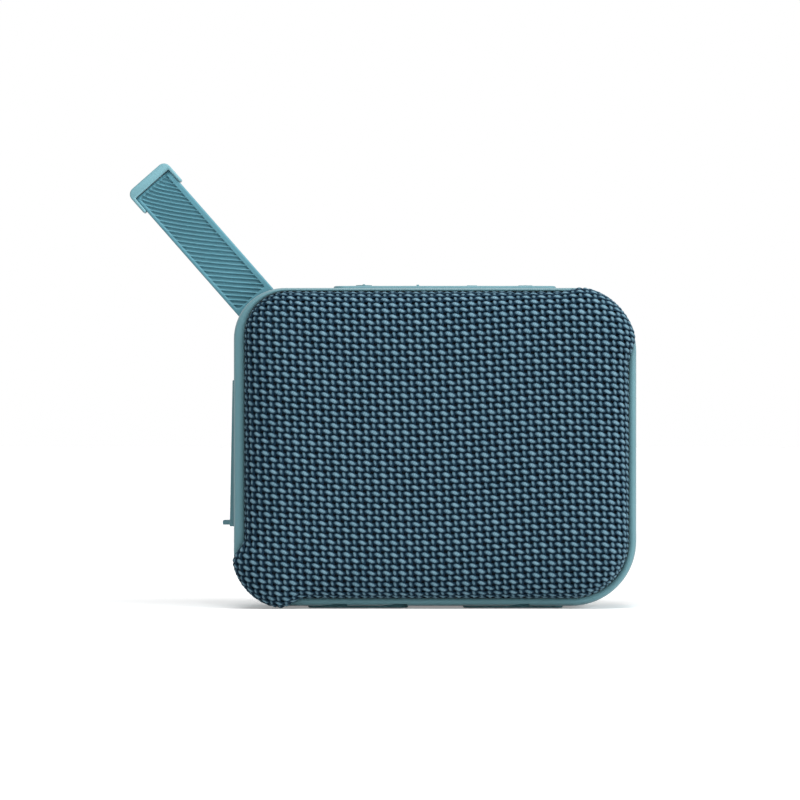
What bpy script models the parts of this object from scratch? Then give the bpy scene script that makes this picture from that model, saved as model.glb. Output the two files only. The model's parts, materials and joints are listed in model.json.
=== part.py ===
"""Portable speaker: fabric front, silicone sleeve, port flap, four top buttons and a carry strap.

Frame: +Z is up, the fabric front faces -Y and +X is on the right seen from the front. The
origin is the middle of the sleeve's flat underside, between the feet. Every length below is
in millimetres, and becomes metres where a mesh is made.
"""

import math
from collections import namedtuple

import bmesh
import bpy
from mathutils import Matrix, Vector

MM = 0.001
GAP = 0.3  # clearance between two pieces that sit against each other
THIN_GAP = 0.1  # clearance of a glued or clamped seat

Sides = namedtuple("Sides", "left right bottom top")
Corner = namedtuple("Corner", "sign_x sign_z radius start wraps")

# ------------------------------------------------------------------ driving dimensions
BODY_WIDTH = 100.5
BODY_HEIGHT = 79.4
BACK_Y = 21.0
FRONT_Y = -21.0
CORNERS = (
    Corner(+1, +1, 16.0, 0, True),
    Corner(-1, +1, 12.7, 90, False),
    Corner(-1, -1, 13.5, 180, True),
    Corner(+1, -1, 16.2, 270, False),
)
ARC_STEPS = 6
LEAD = 3.0  # straight stretch kept beside each corner arc
SMALLEST_RADIUS = 4.0

FABRIC_RIM = Sides(3.1, 2.4, 2.4, 1.3)  # how far the fabric's edge sits inside the body outline
SEAM_Y = -13.3  # where the fabric meets the sleeve's lip
WRAP_BACK = 13.5  # how far the seam runs back round the two wrapped corners
SLEEVE_WALL = 2.0
HOUSING_INSET = SLEEVE_WALL + GAP
HOUSING_WALL = 1.8

BAFFLE_FRONT_Y = -10.4
BAFFLE_BACK_Y = -8.2
SEAL_BACK_Y = -7.6
HOUSING_FRONT_Y = -7.5

FOOT_LENGTH = 25.0
FOOT_CENTRES_X = (-19.25, 19.5)
FOOT_Y = (-8.5, 11.0)
FOOT_PROUD = 0.6
FOOT_SUNK = 0.8

BUTTON_PITCH = 13.55
BUTTON_NAMES = ("button_power", "button_volume_down", "button_play", "button_volume_up")
PANEL_CENTRE_X = 2.5
PANEL_SIZE = (55.8, 13.6)
PANEL_TOP_Z = 80.0
BUTTON_SIZE = (11.0, 9.2)
BUTTON_Y = 1.3
BUTTON_TRAVEL = 0.5
SWITCH_HEIGHT = 2.5  # from the key board to the top of a switch's plunger

FLAP_Z = (19.6, 56.4)
FLAP_Y = (1.0, 12.0)
FLAP_OUTER_X = (-51.6, -50.9)  # at the flap's lower and upper end
FLAP_INNER_X = -49.35
PORT_Z = (21.9, 52.6)
PORT_Y = (2.1, 10.9)

STRAP_DIRECTION = Vector((-0.660, 0.0, 0.751)).normalized()
STRAP_ACROSS = Vector((0.751, 0.0, 0.660)).normalized()
STRAP_CORNER = Vector((-45.53, 2.0, 76.58))  # where the middle of the strap crosses the corner
STRAP_LENGTH = 41.1
STRAP_HALF_WIDTH = 5.55
STRAP_LAYER = 1.5
CLIP_HALF_WIDTH = 6.35
CLIP_LENGTH = 6.6
CLIP_BAR = 1.9  # the clip beyond the strap's tip
CLIP_CORNER_RADIUS = 1.9
PIN_RADIUS = 1.25
PIN_DEPTH = 3.9  # how far the pin's axis lies under the corner's surface
NOTCH_HALF = (7.3, 8.5)  # along the pin and across it

DRIVER_CENTRE = (-16.0, 39.7)
RADIATOR_CENTRE = (29.0, 39.7)
RADIATOR_STRAIGHT = 14.0  # half the straight length of the racetrack

BOARD_X = (-45.7, 3.0)
BOARD_Y = (8.4, 9.8)
BOARD_Z = (15.2, 55.0)
KEY_BOARD_Z = (70.9, 71.9)
WIRE_RADIUS = 0.6


# ------------------------------------------------------------------ scene and materials
def clear_scene():
    for old in list(bpy.data.objects):
        bpy.data.objects.remove(old, do_unlink=True)


def linear(channel):
    """One sRGB channel of 0 to 255 as the linear value that a shader takes."""
    share = channel / 255
    return share / 12.92 if share <= 0.04045 else ((share + 0.055) / 1.055) ** 2.4


def make_material(name, rgb, roughness, metallic=0.0):
    material = bpy.data.materials.new(name)
    material.use_nodes = True
    shader = material.node_tree.nodes["Principled BSDF"]
    shader.inputs["Base Color"].default_value = (*map(linear, rgb), 1.0)
    shader.inputs["Roughness"].default_value = roughness
    shader.inputs["Metallic"].default_value = metallic
    material.diffuse_color = (*map(linear, rgb), 1.0)
    return material


def make_materials():
    return {
        "teal_silicone": make_material("teal_silicone", (92, 146, 156), 0.55),
        "teal_fabric": make_material("teal_fabric", (62, 104, 122), 0.9),
        "black_plastic": make_material("black_plastic", (28, 30, 33), 0.5),
        "steel": make_material("steel", (186, 188, 190), 0.3, 1.0),
        "plated_steel": make_material("plated_steel", (142, 144, 140), 0.38, 1.0),
        "ferrite": make_material("ferrite", (46, 46, 48), 0.7),
        "paper_cone": make_material("paper_cone", (34, 34, 36), 0.85),
        "black_rubber": make_material("black_rubber", (22, 22, 24), 0.65),
        "spider_cloth": make_material("spider_cloth", (196, 142, 62), 0.9),
        "copper": make_material("copper", (184, 106, 62), 0.35, 1.0),
        "circuit_board": make_material("circuit_board", (24, 84, 58), 0.45),
        "battery_wrap": make_material("battery_wrap", (52, 92, 160), 0.4),
        "foam": make_material("foam", (58, 58, 62), 0.95),
        "red_wire": make_material("red_wire", (172, 34, 30), 0.5),
        "flex_film": make_material("flex_film", (206, 128, 48), 0.4),
    }


# ------------------------------------------------------------------ mesh helpers
def smooth_step(value):
    share = min(max(value, 0.0), 1.0)
    return share * share * (3 - 2 * share)


def mix(first, second, share):
    return first + (second - first) * share


def uniform(value):
    return Sides(value, value, value, value)


def widened(sides, extra):
    return Sides(*(value + extra for value in sides))


def corner_stations():
    """(corner, angle, lead, wrap) for each point of a loop round the body, anticlockwise."""
    found = []
    for corner in CORNERS:
        found.append((corner, corner.start, -LEAD, 0.0))
        for step in range(ARC_STEPS + 1):
            away_from_middle = abs(2 * step / ARC_STEPS - 1)
            wrap = 1 - 0.8 * away_from_middle if corner.wraps else 0.0
            found.append((corner, corner.start + 90 * step / ARC_STEPS, 0.0, wrap))
        found.append((corner, corner.start + 90, LEAD, 0.0))
    return found


def body_ring(inset, y, ducked=None, slid=None, back=0.0):
    """A loop at a depth inside the body outline.

    At the two wrapped corners the sleeve's lip first ducks to its (inset, y) in ducked, then
    the fabric slides out to its (inset, y) in slid, and last both run back by up to back.
    """
    points = []
    for corner, angle, lead, wrap in corner_stations():
        inset_x = inset.right if corner.sign_x > 0 else inset.left
        inset_z = inset.top if corner.sign_z > 0 else inset.bottom
        depth = y
        for target, share in (
            (ducked, smooth_step(wrap / 0.2)),
            (slid, smooth_step((wrap - 0.2) / 0.3)),
        ):
            if target:
                inset_x = mix(inset_x, target[0], share)
                inset_z = mix(inset_z, target[0], share)
                depth = mix(depth, target[1], share)
        depth += back * smooth_step((wrap - 0.5) / 0.5)
        radius = max(corner.radius - (inset_x + inset_z) / 2, SMALLEST_RADIUS)
        centre_x = corner.sign_x * (BODY_WIDTH / 2 - inset_x - radius)
        centre_z = BODY_HEIGHT / 2 + corner.sign_z * (BODY_HEIGHT / 2 - inset_z - radius)
        turn = math.radians(angle)
        x = centre_x + radius * math.cos(turn) - lead * math.sin(turn)
        z = centre_z + radius * math.sin(turn) + lead * math.cos(turn)
        points.append(Vector((x, depth, z)))
    return points


def add_loft(bm, rings, closed_path=False):
    """Joins loops of equal length with quads, and caps both ends unless the path closes."""
    loops = [[bm.verts.new(point) for point in ring] for ring in rings]
    pairs = list(zip(loops, loops[1:]))
    if closed_path:
        pairs.append((loops[-1], loops[0]))
    for first, second in pairs:
        count = len(first)
        for i in range(count):
            j = (i + 1) % count
            bm.faces.new((first[i], first[j], second[j], second[i]))
    if not closed_path:
        bm.faces.new(loops[0])
        bm.faces.new(loops[-1])


def add_box(bm, low, high):
    low, high = Vector(low), Vector(high)
    made = bmesh.ops.create_cube(bm, size=1.0)
    for vert in made["verts"]:
        vert.co = Vector(mix(low[i], high[i], vert.co[i] + 0.5) for i in range(3))


def add_oriented_box(bm, centre, axes, halves):
    made = bmesh.ops.create_cube(bm, size=2.0)
    for vert in made["verts"]:
        offset = sum((axes[i] * vert.co[i] * halves[i] for i in range(3)), Vector())
        vert.co = Vector(centre) + offset


def add_rod(bm, start, end, radius, sides=12):
    start, end = Vector(start), Vector(end)
    length = (end - start).length
    turn = Vector((0, 0, 1)).rotation_difference(end - start).to_matrix().to_4x4()
    place = Matrix.Translation((start + end) / 2) @ turn
    bmesh.ops.create_cone(
        bm, cap_ends=True, segments=sides, radius1=radius, radius2=radius, depth=length, matrix=place
    )


def racetrack(centre, straight, radius, y, sides):
    """A loop in the XZ plane: two half circles set apart by twice the straight half length."""
    points = []
    for i in range(sides):
        turn = 2 * math.pi * (i + 0.5) / sides
        shift = straight if math.sin(turn) > 0 else -straight
        x = centre[0] + radius * math.cos(turn)
        points.append(Vector((x, y, centre[1] + radius * math.sin(turn) + shift)))
    return points


def add_turned(bm, centre, profile, straight=0.0, sides=24):
    """A ring with the closed (radius, y) profile, turned round an axis along Y."""
    rings = [racetrack(centre, straight, radius, y, sides) for radius, y in profile]
    add_loft(bm, rings, closed_path=True)


def add_solid_turned(bm, centre, profile, straight=0.0, sides=24):
    """A solid with the open (radius, y) profile, flat at both ends of it."""
    add_loft(bm, [racetrack(centre, straight, radius, y, sides) for radius, y in profile])


def add_rounded_plate(bm, centre, size, radius, z_low, z_high, steps=4):
    """A plate in the XY plane with rounded corners."""
    outline = []
    for sign_x, sign_y, start in ((1, 1, 0), (-1, 1, 90), (-1, -1, 180), (1, -1, 270)):
        for step in range(steps + 1):
            turn = math.radians(start + 90 * step / steps)
            x = centre[0] + sign_x * (size[0] / 2 - radius) + radius * math.cos(turn)
            y = centre[1] + sign_y * (size[1] / 2 - radius) + radius * math.sin(turn)
            outline.append((x, y))
    add_loft(bm, [[Vector((x, y, z)) for x, y in outline] for z in (z_low, z_high)])


def add_tube(bm, path, radius, sides=8):
    """A round wire along a polyline, capped at both ends."""
    points = [Vector(point) for point in path]
    rings = []
    for i, point in enumerate(points):
        before = points[max(i - 1, 0)]
        after = points[min(i + 1, len(points) - 1)]
        along = (after - before).normalized()
        side = along.orthogonal() if i == 0 else side - along * side.dot(along)
        side.normalize()
        other = along.cross(side)
        turns = [2 * math.pi * k / sides for k in range(sides)]
        rings.append([point + radius * (math.cos(t) * side + math.sin(t) * other) for t in turns])
    add_loft(bm, rings)


def mesh_object(name, bm):
    bmesh.ops.recalc_face_normals(bm, faces=bm.faces)
    bmesh.ops.scale(bm, vec=(MM, MM, MM), verts=bm.verts)
    mesh = bpy.data.meshes.new(name)
    bm.to_mesh(mesh)
    bm.free()
    made = bpy.data.objects.new(name, mesh)
    bpy.context.scene.collection.objects.link(made)
    return made


def piece(name, bm, material, smooth=False):
    """Turns the mesh into the named part of the assembly."""
    made = mesh_object(name, bm)
    made.data.materials.append(material)
    if smooth:
        made.data.shade_smooth()
        made.data.set_sharp_from_angle(angle=math.radians(40))
    return made


def combine(target, tool_mesh, name, operation):
    """Cuts the tool mesh from the target, or joins it to the target."""
    tool = mesh_object(name, tool_mesh)
    tool.hide_render = True
    tool.display_type = "WIRE"
    modifier = target.modifiers.new(name, "BOOLEAN")
    modifier.operation = operation
    modifier.object = tool


def pivot(name, place, children):
    """An empty on a joint's axis that carries the pieces which move with it."""
    empty = bpy.data.objects.new(name, None)
    empty.empty_display_size = 0.005
    empty.location = Vector(place) * MM
    bpy.context.scene.collection.objects.link(empty)
    bpy.context.view_layer.update()
    for child in children:
        child.parent = empty
        child.matrix_parent_inverse = empty.matrix_world.inverted()


# ------------------------------------------------------------------ strap frame
STRAP_AXES = (STRAP_DIRECTION, Vector((0, 1, 0)), STRAP_ACROSS)
PIN_CENTRE = STRAP_CORNER - STRAP_DIRECTION * PIN_DEPTH


def strap_point(along, across_y, across_pin=0.0):
    """A place given from the strap's corner point: outwards, backwards and along the pin."""
    axes = zip((along, across_y, across_pin), STRAP_AXES)
    return STRAP_CORNER + sum((axis * value for value, axis in axes), Vector())


def add_strap_box(bm, along, half_y, half_across):
    middle = strap_point(sum(along) / 2, 0.0)
    add_oriented_box(bm, middle, STRAP_AXES, ((along[1] - along[0]) / 2, half_y, half_across))


# ------------------------------------------------------------------ soft outside
def make_sleeve(material):
    lip = widened(FABRIC_RIM, -GAP)
    lip_crest = Sides(*(value * 0.45 for value in lip))
    wall = uniform(SLEEVE_WALL)
    rings = [
        body_ring(uniform(8.0), BACK_Y - 2.0),
        body_ring(uniform(4.5), BACK_Y - 3.5),
        body_ring(wall, 12.0),
        body_ring(wall, -11.5, back=12.6),
        body_ring(lip, -12.3, ducked=(1.6, -12.6), back=WRAP_BACK),
        body_ring(lip, -13.6, ducked=(1.3, -12.95), back=WRAP_BACK),
        body_ring(lip_crest, -14.3, ducked=(0.7, -12.95), back=WRAP_BACK),
        body_ring(uniform(0.15), -12.9, ducked=(0.05, -12.7), back=WRAP_BACK),
        body_ring(uniform(0.0), -9.5, back=10.9),
        body_ring(uniform(0.0), 12.0),
        body_ring(uniform(0.8), 16.2),
        body_ring(uniform(2.6), 19.1),
        body_ring(uniform(5.6), 20.6),
        body_ring(uniform(9.0), BACK_Y),
    ]
    bm = bmesh.new()
    add_loft(bm, rings)
    sleeve = piece("rubber_sleeve", bm, material, smooth=True)

    panel = bmesh.new()
    centre = (PANEL_CENTRE_X, BUTTON_Y)
    add_rounded_plate(panel, centre, PANEL_SIZE, 3.0, BODY_HEIGHT - 1.2, PANEL_TOP_Z)
    combine(sleeve, panel, "raised_button_panel", "UNION")

    openings = bmesh.new()
    for x in button_places():
        size = [side + 2 * GAP for side in BUTTON_SIZE]
        add_rounded_plate(openings, (x, BUTTON_Y), size, 2.3, BODY_HEIGHT - 4.0, PANEL_TOP_Z + 2)
    for x in FOOT_CENTRES_X:
        centre = (x, sum(FOOT_Y) / 2)
        size = (FOOT_LENGTH + 2 * GAP, FOOT_Y[1] - FOOT_Y[0] + 2 * GAP)
        add_rounded_plate(openings, centre, size, 2.3, -2.0, FOOT_SUNK + GAP)
    low = (-60.0, FLAP_Y[0] - GAP, FLAP_Z[0] - GAP)
    add_box(openings, low, (FLAP_INNER_X + THIN_GAP, FLAP_Y[1] + GAP, FLAP_Z[1] + GAP))
    combine(sleeve, openings, "sleeve_openings", "DIFFERENCE")

    port = bmesh.new()
    add_box(port, (-56.0, PORT_Y[0], PORT_Z[0]), (-46.0, PORT_Y[1], PORT_Z[1]))
    combine(sleeve, port, "sleeve_port_opening", "DIFFERENCE")

    notch = bmesh.new()
    add_strap_box(notch, (-9.0, 8.0), NOTCH_HALF[1], NOTCH_HALF[0])
    combine(sleeve, notch, "sleeve_strap_notch", "DIFFERENCE")


def crowned_shell(name, material, start, thickness, rim_y, slid_outer):
    """A pillow-shaped shell behind the fabric's outer face, start mm under that face."""
    outer = widened(FABRIC_RIM, start)
    inner = widened(FABRIC_RIM, start + thickness)
    slid_inner = slid_outer + thickness

    def front_rings(rim, depth, slid):
        shoulder = -17.0 + depth / 2
        return [
            body_ring(rim, rim_y, slid=(slid, min(rim_y, SEAM_Y - THIN_GAP)), back=WRAP_BACK),
            body_ring(widened(rim, 0.1), -15.0 + depth / 3, slid=(slid, -15.0), back=10.8),
            body_ring(widened(rim, 0.9), shoulder, slid=(slid + 0.1, shoulder), back=4.5),
            body_ring(widened(rim, 2.4), -18.7 + depth, slid=(slid + 1.7, -18.7 + depth), back=1.4),
            body_ring(widened(rim, 5.0), -19.9 + depth, slid=(slid + 4.3, -19.9 + depth)),
            body_ring(widened(rim, 11.0), FRONT_Y + 0.4 + depth),
            body_ring(widened(rim, 22.0), FRONT_Y + depth),
        ]

    rings = front_rings(outer, start, slid_outer)[::-1]
    rings += front_rings(inner, start + thickness, slid_inner)
    bm = bmesh.new()
    add_loft(bm, rings)
    return piece(name, bm, material, smooth=True)


def make_grille(materials):
    crowned_shell("fabric_cover", materials["teal_fabric"], 0.0, 1.0, SEAM_Y, -0.3)
    frame = crowned_shell("grille_frame", materials["black_plastic"], 1.5, 1.1, -12.2, 1.05)
    slots = bmesh.new()
    slot_length, slot_width, slot_pitch = 35.0, 3.4, 7.2
    for row in range(-4, 5):
        for side in (-0.5, 0.5):
            x = side * (slot_length + 4.0)
            z = BODY_HEIGHT / 2 + 0.7 + row * slot_pitch
            low = (x - slot_length / 2, FRONT_Y - 1, z - slot_width / 2)
            add_box(slots, low, (x + slot_length / 2, -15.5, z + slot_width / 2))
    combine(frame, slots, "grille_slots", "DIFFERENCE")


def make_feet(material):
    for name, x in zip(("foot_left", "foot_right"), FOOT_CENTRES_X):
        bm = bmesh.new()
        centre = (x, sum(FOOT_Y) / 2)
        size = (FOOT_LENGTH, FOOT_Y[1] - FOOT_Y[0])
        add_rounded_plate(bm, centre, size, 2.0, -FOOT_PROUD, FOOT_SUNK)
        piece(name, bm, material)


# ------------------------------------------------------------------ buttons and flap
def button_places():
    first = PANEL_CENTRE_X - BUTTON_PITCH * (len(BUTTON_NAMES) - 1) / 2
    return [first + BUTTON_PITCH * i for i in range(len(BUTTON_NAMES))]


def make_buttons(material):
    cap_low = BODY_HEIGHT - 1.5
    stem_low = KEY_BOARD_Z[1] + SWITCH_HEIGHT + BUTTON_TRAVEL + 0.05
    for name, x in zip(BUTTON_NAMES, button_places()):
        bm = bmesh.new()
        add_rounded_plate(bm, (x, BUTTON_Y), BUTTON_SIZE, 2.0, cap_low, PANEL_TOP_Z + 0.1)
        button = piece(name, bm, material)
        stem = bmesh.new()
        add_rod(stem, (x, BUTTON_Y, stem_low), (x, BUTTON_Y, cap_low + 0.5), 2.3)
        combine(button, stem, name + "_stem", "UNION")
        icon = bmesh.new()
        add_icon(icon, name, x)
        combine(button, icon, name + "_icon", "UNION")
        pivot(name + "_slide", (x, BUTTON_Y, PANEL_TOP_Z), [button])


def add_icon(bm, name, x):
    """A raised bar: tall and front to back on two keys, low and crossways on the other two."""
    half_x, half_y, proud = 1.8, 0.35, 0.25
    if name in ("button_power", "button_volume_down"):
        half_x, half_y, proud = 0.35, 1.8, 0.4
    low = (x - half_x, BUTTON_Y - half_y, PANEL_TOP_Z - 0.3)
    add_box(bm, low, (x + half_x, BUTTON_Y + half_y, PANEL_TOP_Z + proud))


def make_flap(material):
    """A wedge-shaped cover with a pull tab, and a plug that fills the port opening."""
    low_x, high_x = FLAP_OUTER_X
    bm = bmesh.new()
    add_box(bm, (low_x, FLAP_Y[0], FLAP_Z[0]), (FLAP_INNER_X, FLAP_Y[1], FLAP_Z[1]))
    for vert in bm.verts:
        if vert.co.x < FLAP_INNER_X - 0.5 and vert.co.z > sum(FLAP_Z) / 2:
            vert.co.x = high_x
    flap = piece("port_flap", bm, material)

    plug = bmesh.new()
    low = (FLAP_INNER_X - 0.5, PORT_Y[0] + 0.6, PORT_Z[0] + 0.7)
    add_box(plug, low, (-47.7, PORT_Y[1] - 0.6, PORT_Z[1] - 0.6))
    combine(flap, plug, "port_flap_plug", "UNION")

    tab = bmesh.new()
    add_box(tab, (low_x - 1.8, 3.0, 20.0), (low_x + 0.5, 10.0, 21.1))
    combine(flap, tab, "port_flap_pull_tab", "UNION")
    pivot("flap_hinge", (high_x, sum(FLAP_Y) / 2, FLAP_Z[1]), [flap])


# ------------------------------------------------------------------ strap
def band_loop(radius, start, end, across_pin, steps=6):
    """A stadium in the plane of the strap's length and the Y axis, round the pin at one end."""
    points = []
    for centre, first in ((start, 90), (end, -90)):
        for step in range(steps + 1):
            turn = math.radians(first + 180 * step / steps)
            along = centre + radius * math.cos(turn)
            points.append(strap_point(along, radius * math.sin(turn), across_pin))
    return points


def clip_outline():
    """The clip seen along Y, as (across the strap, along it): square below, rounded at its tip."""
    low, high = STRAP_LENGTH - CLIP_LENGTH, STRAP_LENGTH - CLIP_CORNER_RADIUS
    points = [(-CLIP_HALF_WIDTH, low), (CLIP_HALF_WIDTH, low)]
    for side, first in ((1, 0), (-1, 90)):
        centre = side * (CLIP_HALF_WIDTH - CLIP_CORNER_RADIUS)
        for step in range(4):
            turn = math.radians(first + 30 * step)
            across = centre + CLIP_CORNER_RADIUS * math.cos(turn)
            points.append((across, high + CLIP_CORNER_RADIUS * math.sin(turn)))
    return points


def make_strap(materials):
    outer_radius = PIN_RADIUS + GAP + 0.05 + STRAP_LAYER
    inner_radius = outer_radius - STRAP_LAYER
    tip = STRAP_LENGTH - CLIP_BAR - GAP
    ends = (-PIN_DEPTH, tip - outer_radius)
    edges = (-STRAP_HALF_WIDTH, STRAP_HALF_WIDTH)
    bm = bmesh.new()
    rings = [band_loop(outer_radius, *ends, edge) for edge in edges]
    rings += [band_loop(inner_radius, *ends, edge) for edge in edges[::-1]]
    add_loft(bm, rings, closed_path=True)
    strap = piece("strap_loop", bm, materials["teal_silicone"], smooth=True)

    clip_mesh = bmesh.new()
    clip_half_y = outer_radius + 0.4
    outline = clip_outline()
    add_loft(clip_mesh, [[strap_point(s, y, a) for a, s in outline] for y in (-clip_half_y, clip_half_y)])
    clip = piece("strap_end_clip", clip_mesh, materials["teal_silicone"])
    pocket = bmesh.new()
    along = (STRAP_LENGTH - CLIP_LENGTH - 2, tip + GAP)
    add_strap_box(pocket, along, clip_half_y + 2, STRAP_HALF_WIDTH + THIN_GAP)
    combine(clip, pocket, "strap_end_clip_pocket", "DIFFERENCE")

    pin = bmesh.new()
    half_pin = 6.9
    add_rod(pin, strap_point(-PIN_DEPTH, 0, -half_pin), strap_point(-PIN_DEPTH, 0, half_pin), PIN_RADIUS)
    piece("strap_pin", pin, materials["steel"], smooth=True)
    pivot("strap_hinge", PIN_CENTRE, [strap, clip])

    cup_mesh = bmesh.new()
    add_strap_box(cup_mesh, (-8.3, -2.4), NOTCH_HALF[1] - GAP, NOTCH_HALF[0] - GAP)
    cup = piece("strap_anchor_cup", cup_mesh, materials["black_plastic"])
    hollow = bmesh.new()
    add_strap_box(hollow, (-7.3, 2.0), NOTCH_HALF[1] - GAP - 1.1, STRAP_HALF_WIDTH + 0.35)
    combine(cup, hollow, "strap_anchor_cup_hollow", "DIFFERENCE")
    bore = bmesh.new()
    add_rod(bore, strap_point(-PIN_DEPTH, 0, -9), strap_point(-PIN_DEPTH, 0, 9), PIN_RADIUS + THIN_GAP)
    combine(cup, bore, "strap_anchor_cup_bore", "DIFFERENCE")


# ------------------------------------------------------------------ housing
CASE_SCREW_PLACES = ((41.0, 67.0), (-42.5, 58.0), (-41.0, 12.0), (41.0, 12.5))
BOARD_SCREW_PLACES = ((-40.0, 18.6), (-0.5, 51.8))
KEY_POST_X = (-10.97, 16.13)  # the key board is heat-staked on these posts
BOSS_END_Y = 17.6  # inside the housing's back wall


def add_y_rod(bm, place, start_y, end_y, radius):
    add_rod(bm, (place[0], start_y, place[1]), (place[0], end_y, place[1]), radius)


def make_rear_housing(material):
    inner = uniform(HOUSING_INSET + HOUSING_WALL)
    outer = uniform(HOUSING_INSET)
    rings = [
        body_ring(uniform(9.5), 16.9),
        body_ring(uniform(6.3), 15.8),
        body_ring(inner, 11.5),
        body_ring(inner, HOUSING_FRONT_Y),
        body_ring(outer, HOUSING_FRONT_Y),
        body_ring(outer, 12.0),
        body_ring(uniform(4.9), 17.2),
        body_ring(uniform(8.5), 18.7),
    ]
    bm = bmesh.new()
    add_loft(bm, rings)
    housing = piece("rear_housing", bm, material, smooth=True)

    bosses = bmesh.new()
    for place in CASE_SCREW_PLACES:
        add_y_rod(bosses, place, HOUSING_FRONT_Y, BOSS_END_Y, 2.6)
    for place in BOARD_SCREW_PLACES:
        add_y_rod(bosses, place, BOARD_Y[1] + GAP, BOSS_END_Y, 2.2)
    for x in KEY_POST_X:
        add_rod(bosses, (x, BUTTON_Y, KEY_BOARD_Z[1] + GAP), (x, BUTTON_Y, 76.2), 2.0)
    combine(housing, bosses, "housing_bosses", "UNION")

    stakes = bmesh.new()
    for x in KEY_POST_X:
        add_rod(stakes, (x, BUTTON_Y, KEY_BOARD_Z[0] - 0.6), (x, BUTTON_Y, 74.0), 0.8)
    combine(housing, stakes, "key_board_stakes", "UNION")

    holes = bmesh.new()
    for place in CASE_SCREW_PLACES:
        add_y_rod(holes, place, HOUSING_FRONT_Y - 2, 2.0, 1.3)
    for place in BOARD_SCREW_PLACES:
        add_y_rod(holes, place, BOARD_Y[1] - 1, 15.0, 1.2)
    for x in button_places():
        add_rod(holes, (x, BUTTON_Y, 74.0), (x, BUTTON_Y, 79.0), 2.8)
    low = (-50.0, PORT_Y[0], PORT_Z[0])
    add_box(holes, low, (-45.0, PORT_Y[1], PORT_Z[1]))
    combine(housing, holes, "housing_holes", "DIFFERENCE")

    notch = bmesh.new()
    add_strap_box(notch, (-8.6, 6.0), NOTCH_HALF[1] - THIN_GAP, NOTCH_HALF[0])
    combine(housing, notch, "housing_strap_notch", "DIFFERENCE")


def driver_screw_places():
    radius = 22.1
    x, z = DRIVER_CENTRE
    half = radius / math.sqrt(2)
    return [(x + sx * half, z + sz * half) for sx in (-1, 1) for sz in (-1, 1)]


def make_baffle(materials):
    bm = bmesh.new()
    outline = uniform(HOUSING_INSET)
    add_loft(bm, [body_ring(outline, y) for y in (BAFFLE_FRONT_Y, BAFFLE_BACK_Y)])
    baffle = piece("front_baffle", bm, materials["black_plastic"])
    holes = bmesh.new()
    ends = (BAFFLE_FRONT_Y - 3, BAFFLE_BACK_Y + 3)
    add_solid_turned(holes, DRIVER_CENTRE, [(20.4, y) for y in ends])
    add_solid_turned(holes, RADIATOR_CENTRE, [(12.0, y) for y in ends], RADIATOR_STRAIGHT)
    for place in CASE_SCREW_PLACES:
        add_y_rod(holes, place, *ends, 1.3)
    for place in driver_screw_places():
        add_y_rod(holes, place, *ends, 1.1)
    combine(baffle, holes, "baffle_holes", "DIFFERENCE")

    seal = bmesh.new()
    edges = ((HOUSING_INSET + 0.1, BAFFLE_BACK_Y + THIN_GAP), (HOUSING_INSET + 1.6, SEAL_BACK_Y))
    (outer_inset, front), (inner_inset, back) = edges
    rings = [body_ring(uniform(outer_inset), front), body_ring(uniform(outer_inset), back)]
    rings += [body_ring(uniform(inner_inset), back), body_ring(uniform(inner_inset), front)]
    add_loft(seal, rings, closed_path=True)
    piece("housing_seal", seal, materials["black_rubber"])


def make_screw(name, place, head_y, head_radius, head_height, shank_radius, end_y, material):
    """A pan-head screw along Y: its head in front, its shank running back."""
    shoulder = head_y + head_height
    profile = [(head_radius * 0.7, head_y), (head_radius, head_y + head_height * 0.4)]
    profile += [(head_radius, shoulder), (shank_radius, shoulder), (shank_radius, end_y)]
    bm = bmesh.new()
    add_solid_turned(bm, place, profile, sides=12)
    piece(name, bm, material, smooth=True)


# ------------------------------------------------------------------ driver and radiator
def half_roll(centre, radius, back_y, inner_foot, outer_foot, steps=5):
    """The closed section of a rubber surround: a flat foot, half a roll and another foot."""
    thickness = 0.4
    front = []
    back = []
    for step in range(steps + 1):
        turn = math.pi * step / steps
        front.append((centre - radius * math.cos(turn), back_y - 0.35 - radius * math.sin(turn)))
        inner = radius - thickness
        back.append((centre - inner * math.cos(turn), back_y - inner * math.sin(turn)))
    section = [(inner_foot, back_y), (inner_foot, back_y - 0.35)] + front
    return section + [(outer_foot, back_y - 0.35), (outer_foot, back_y)] + back[::-1]


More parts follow.
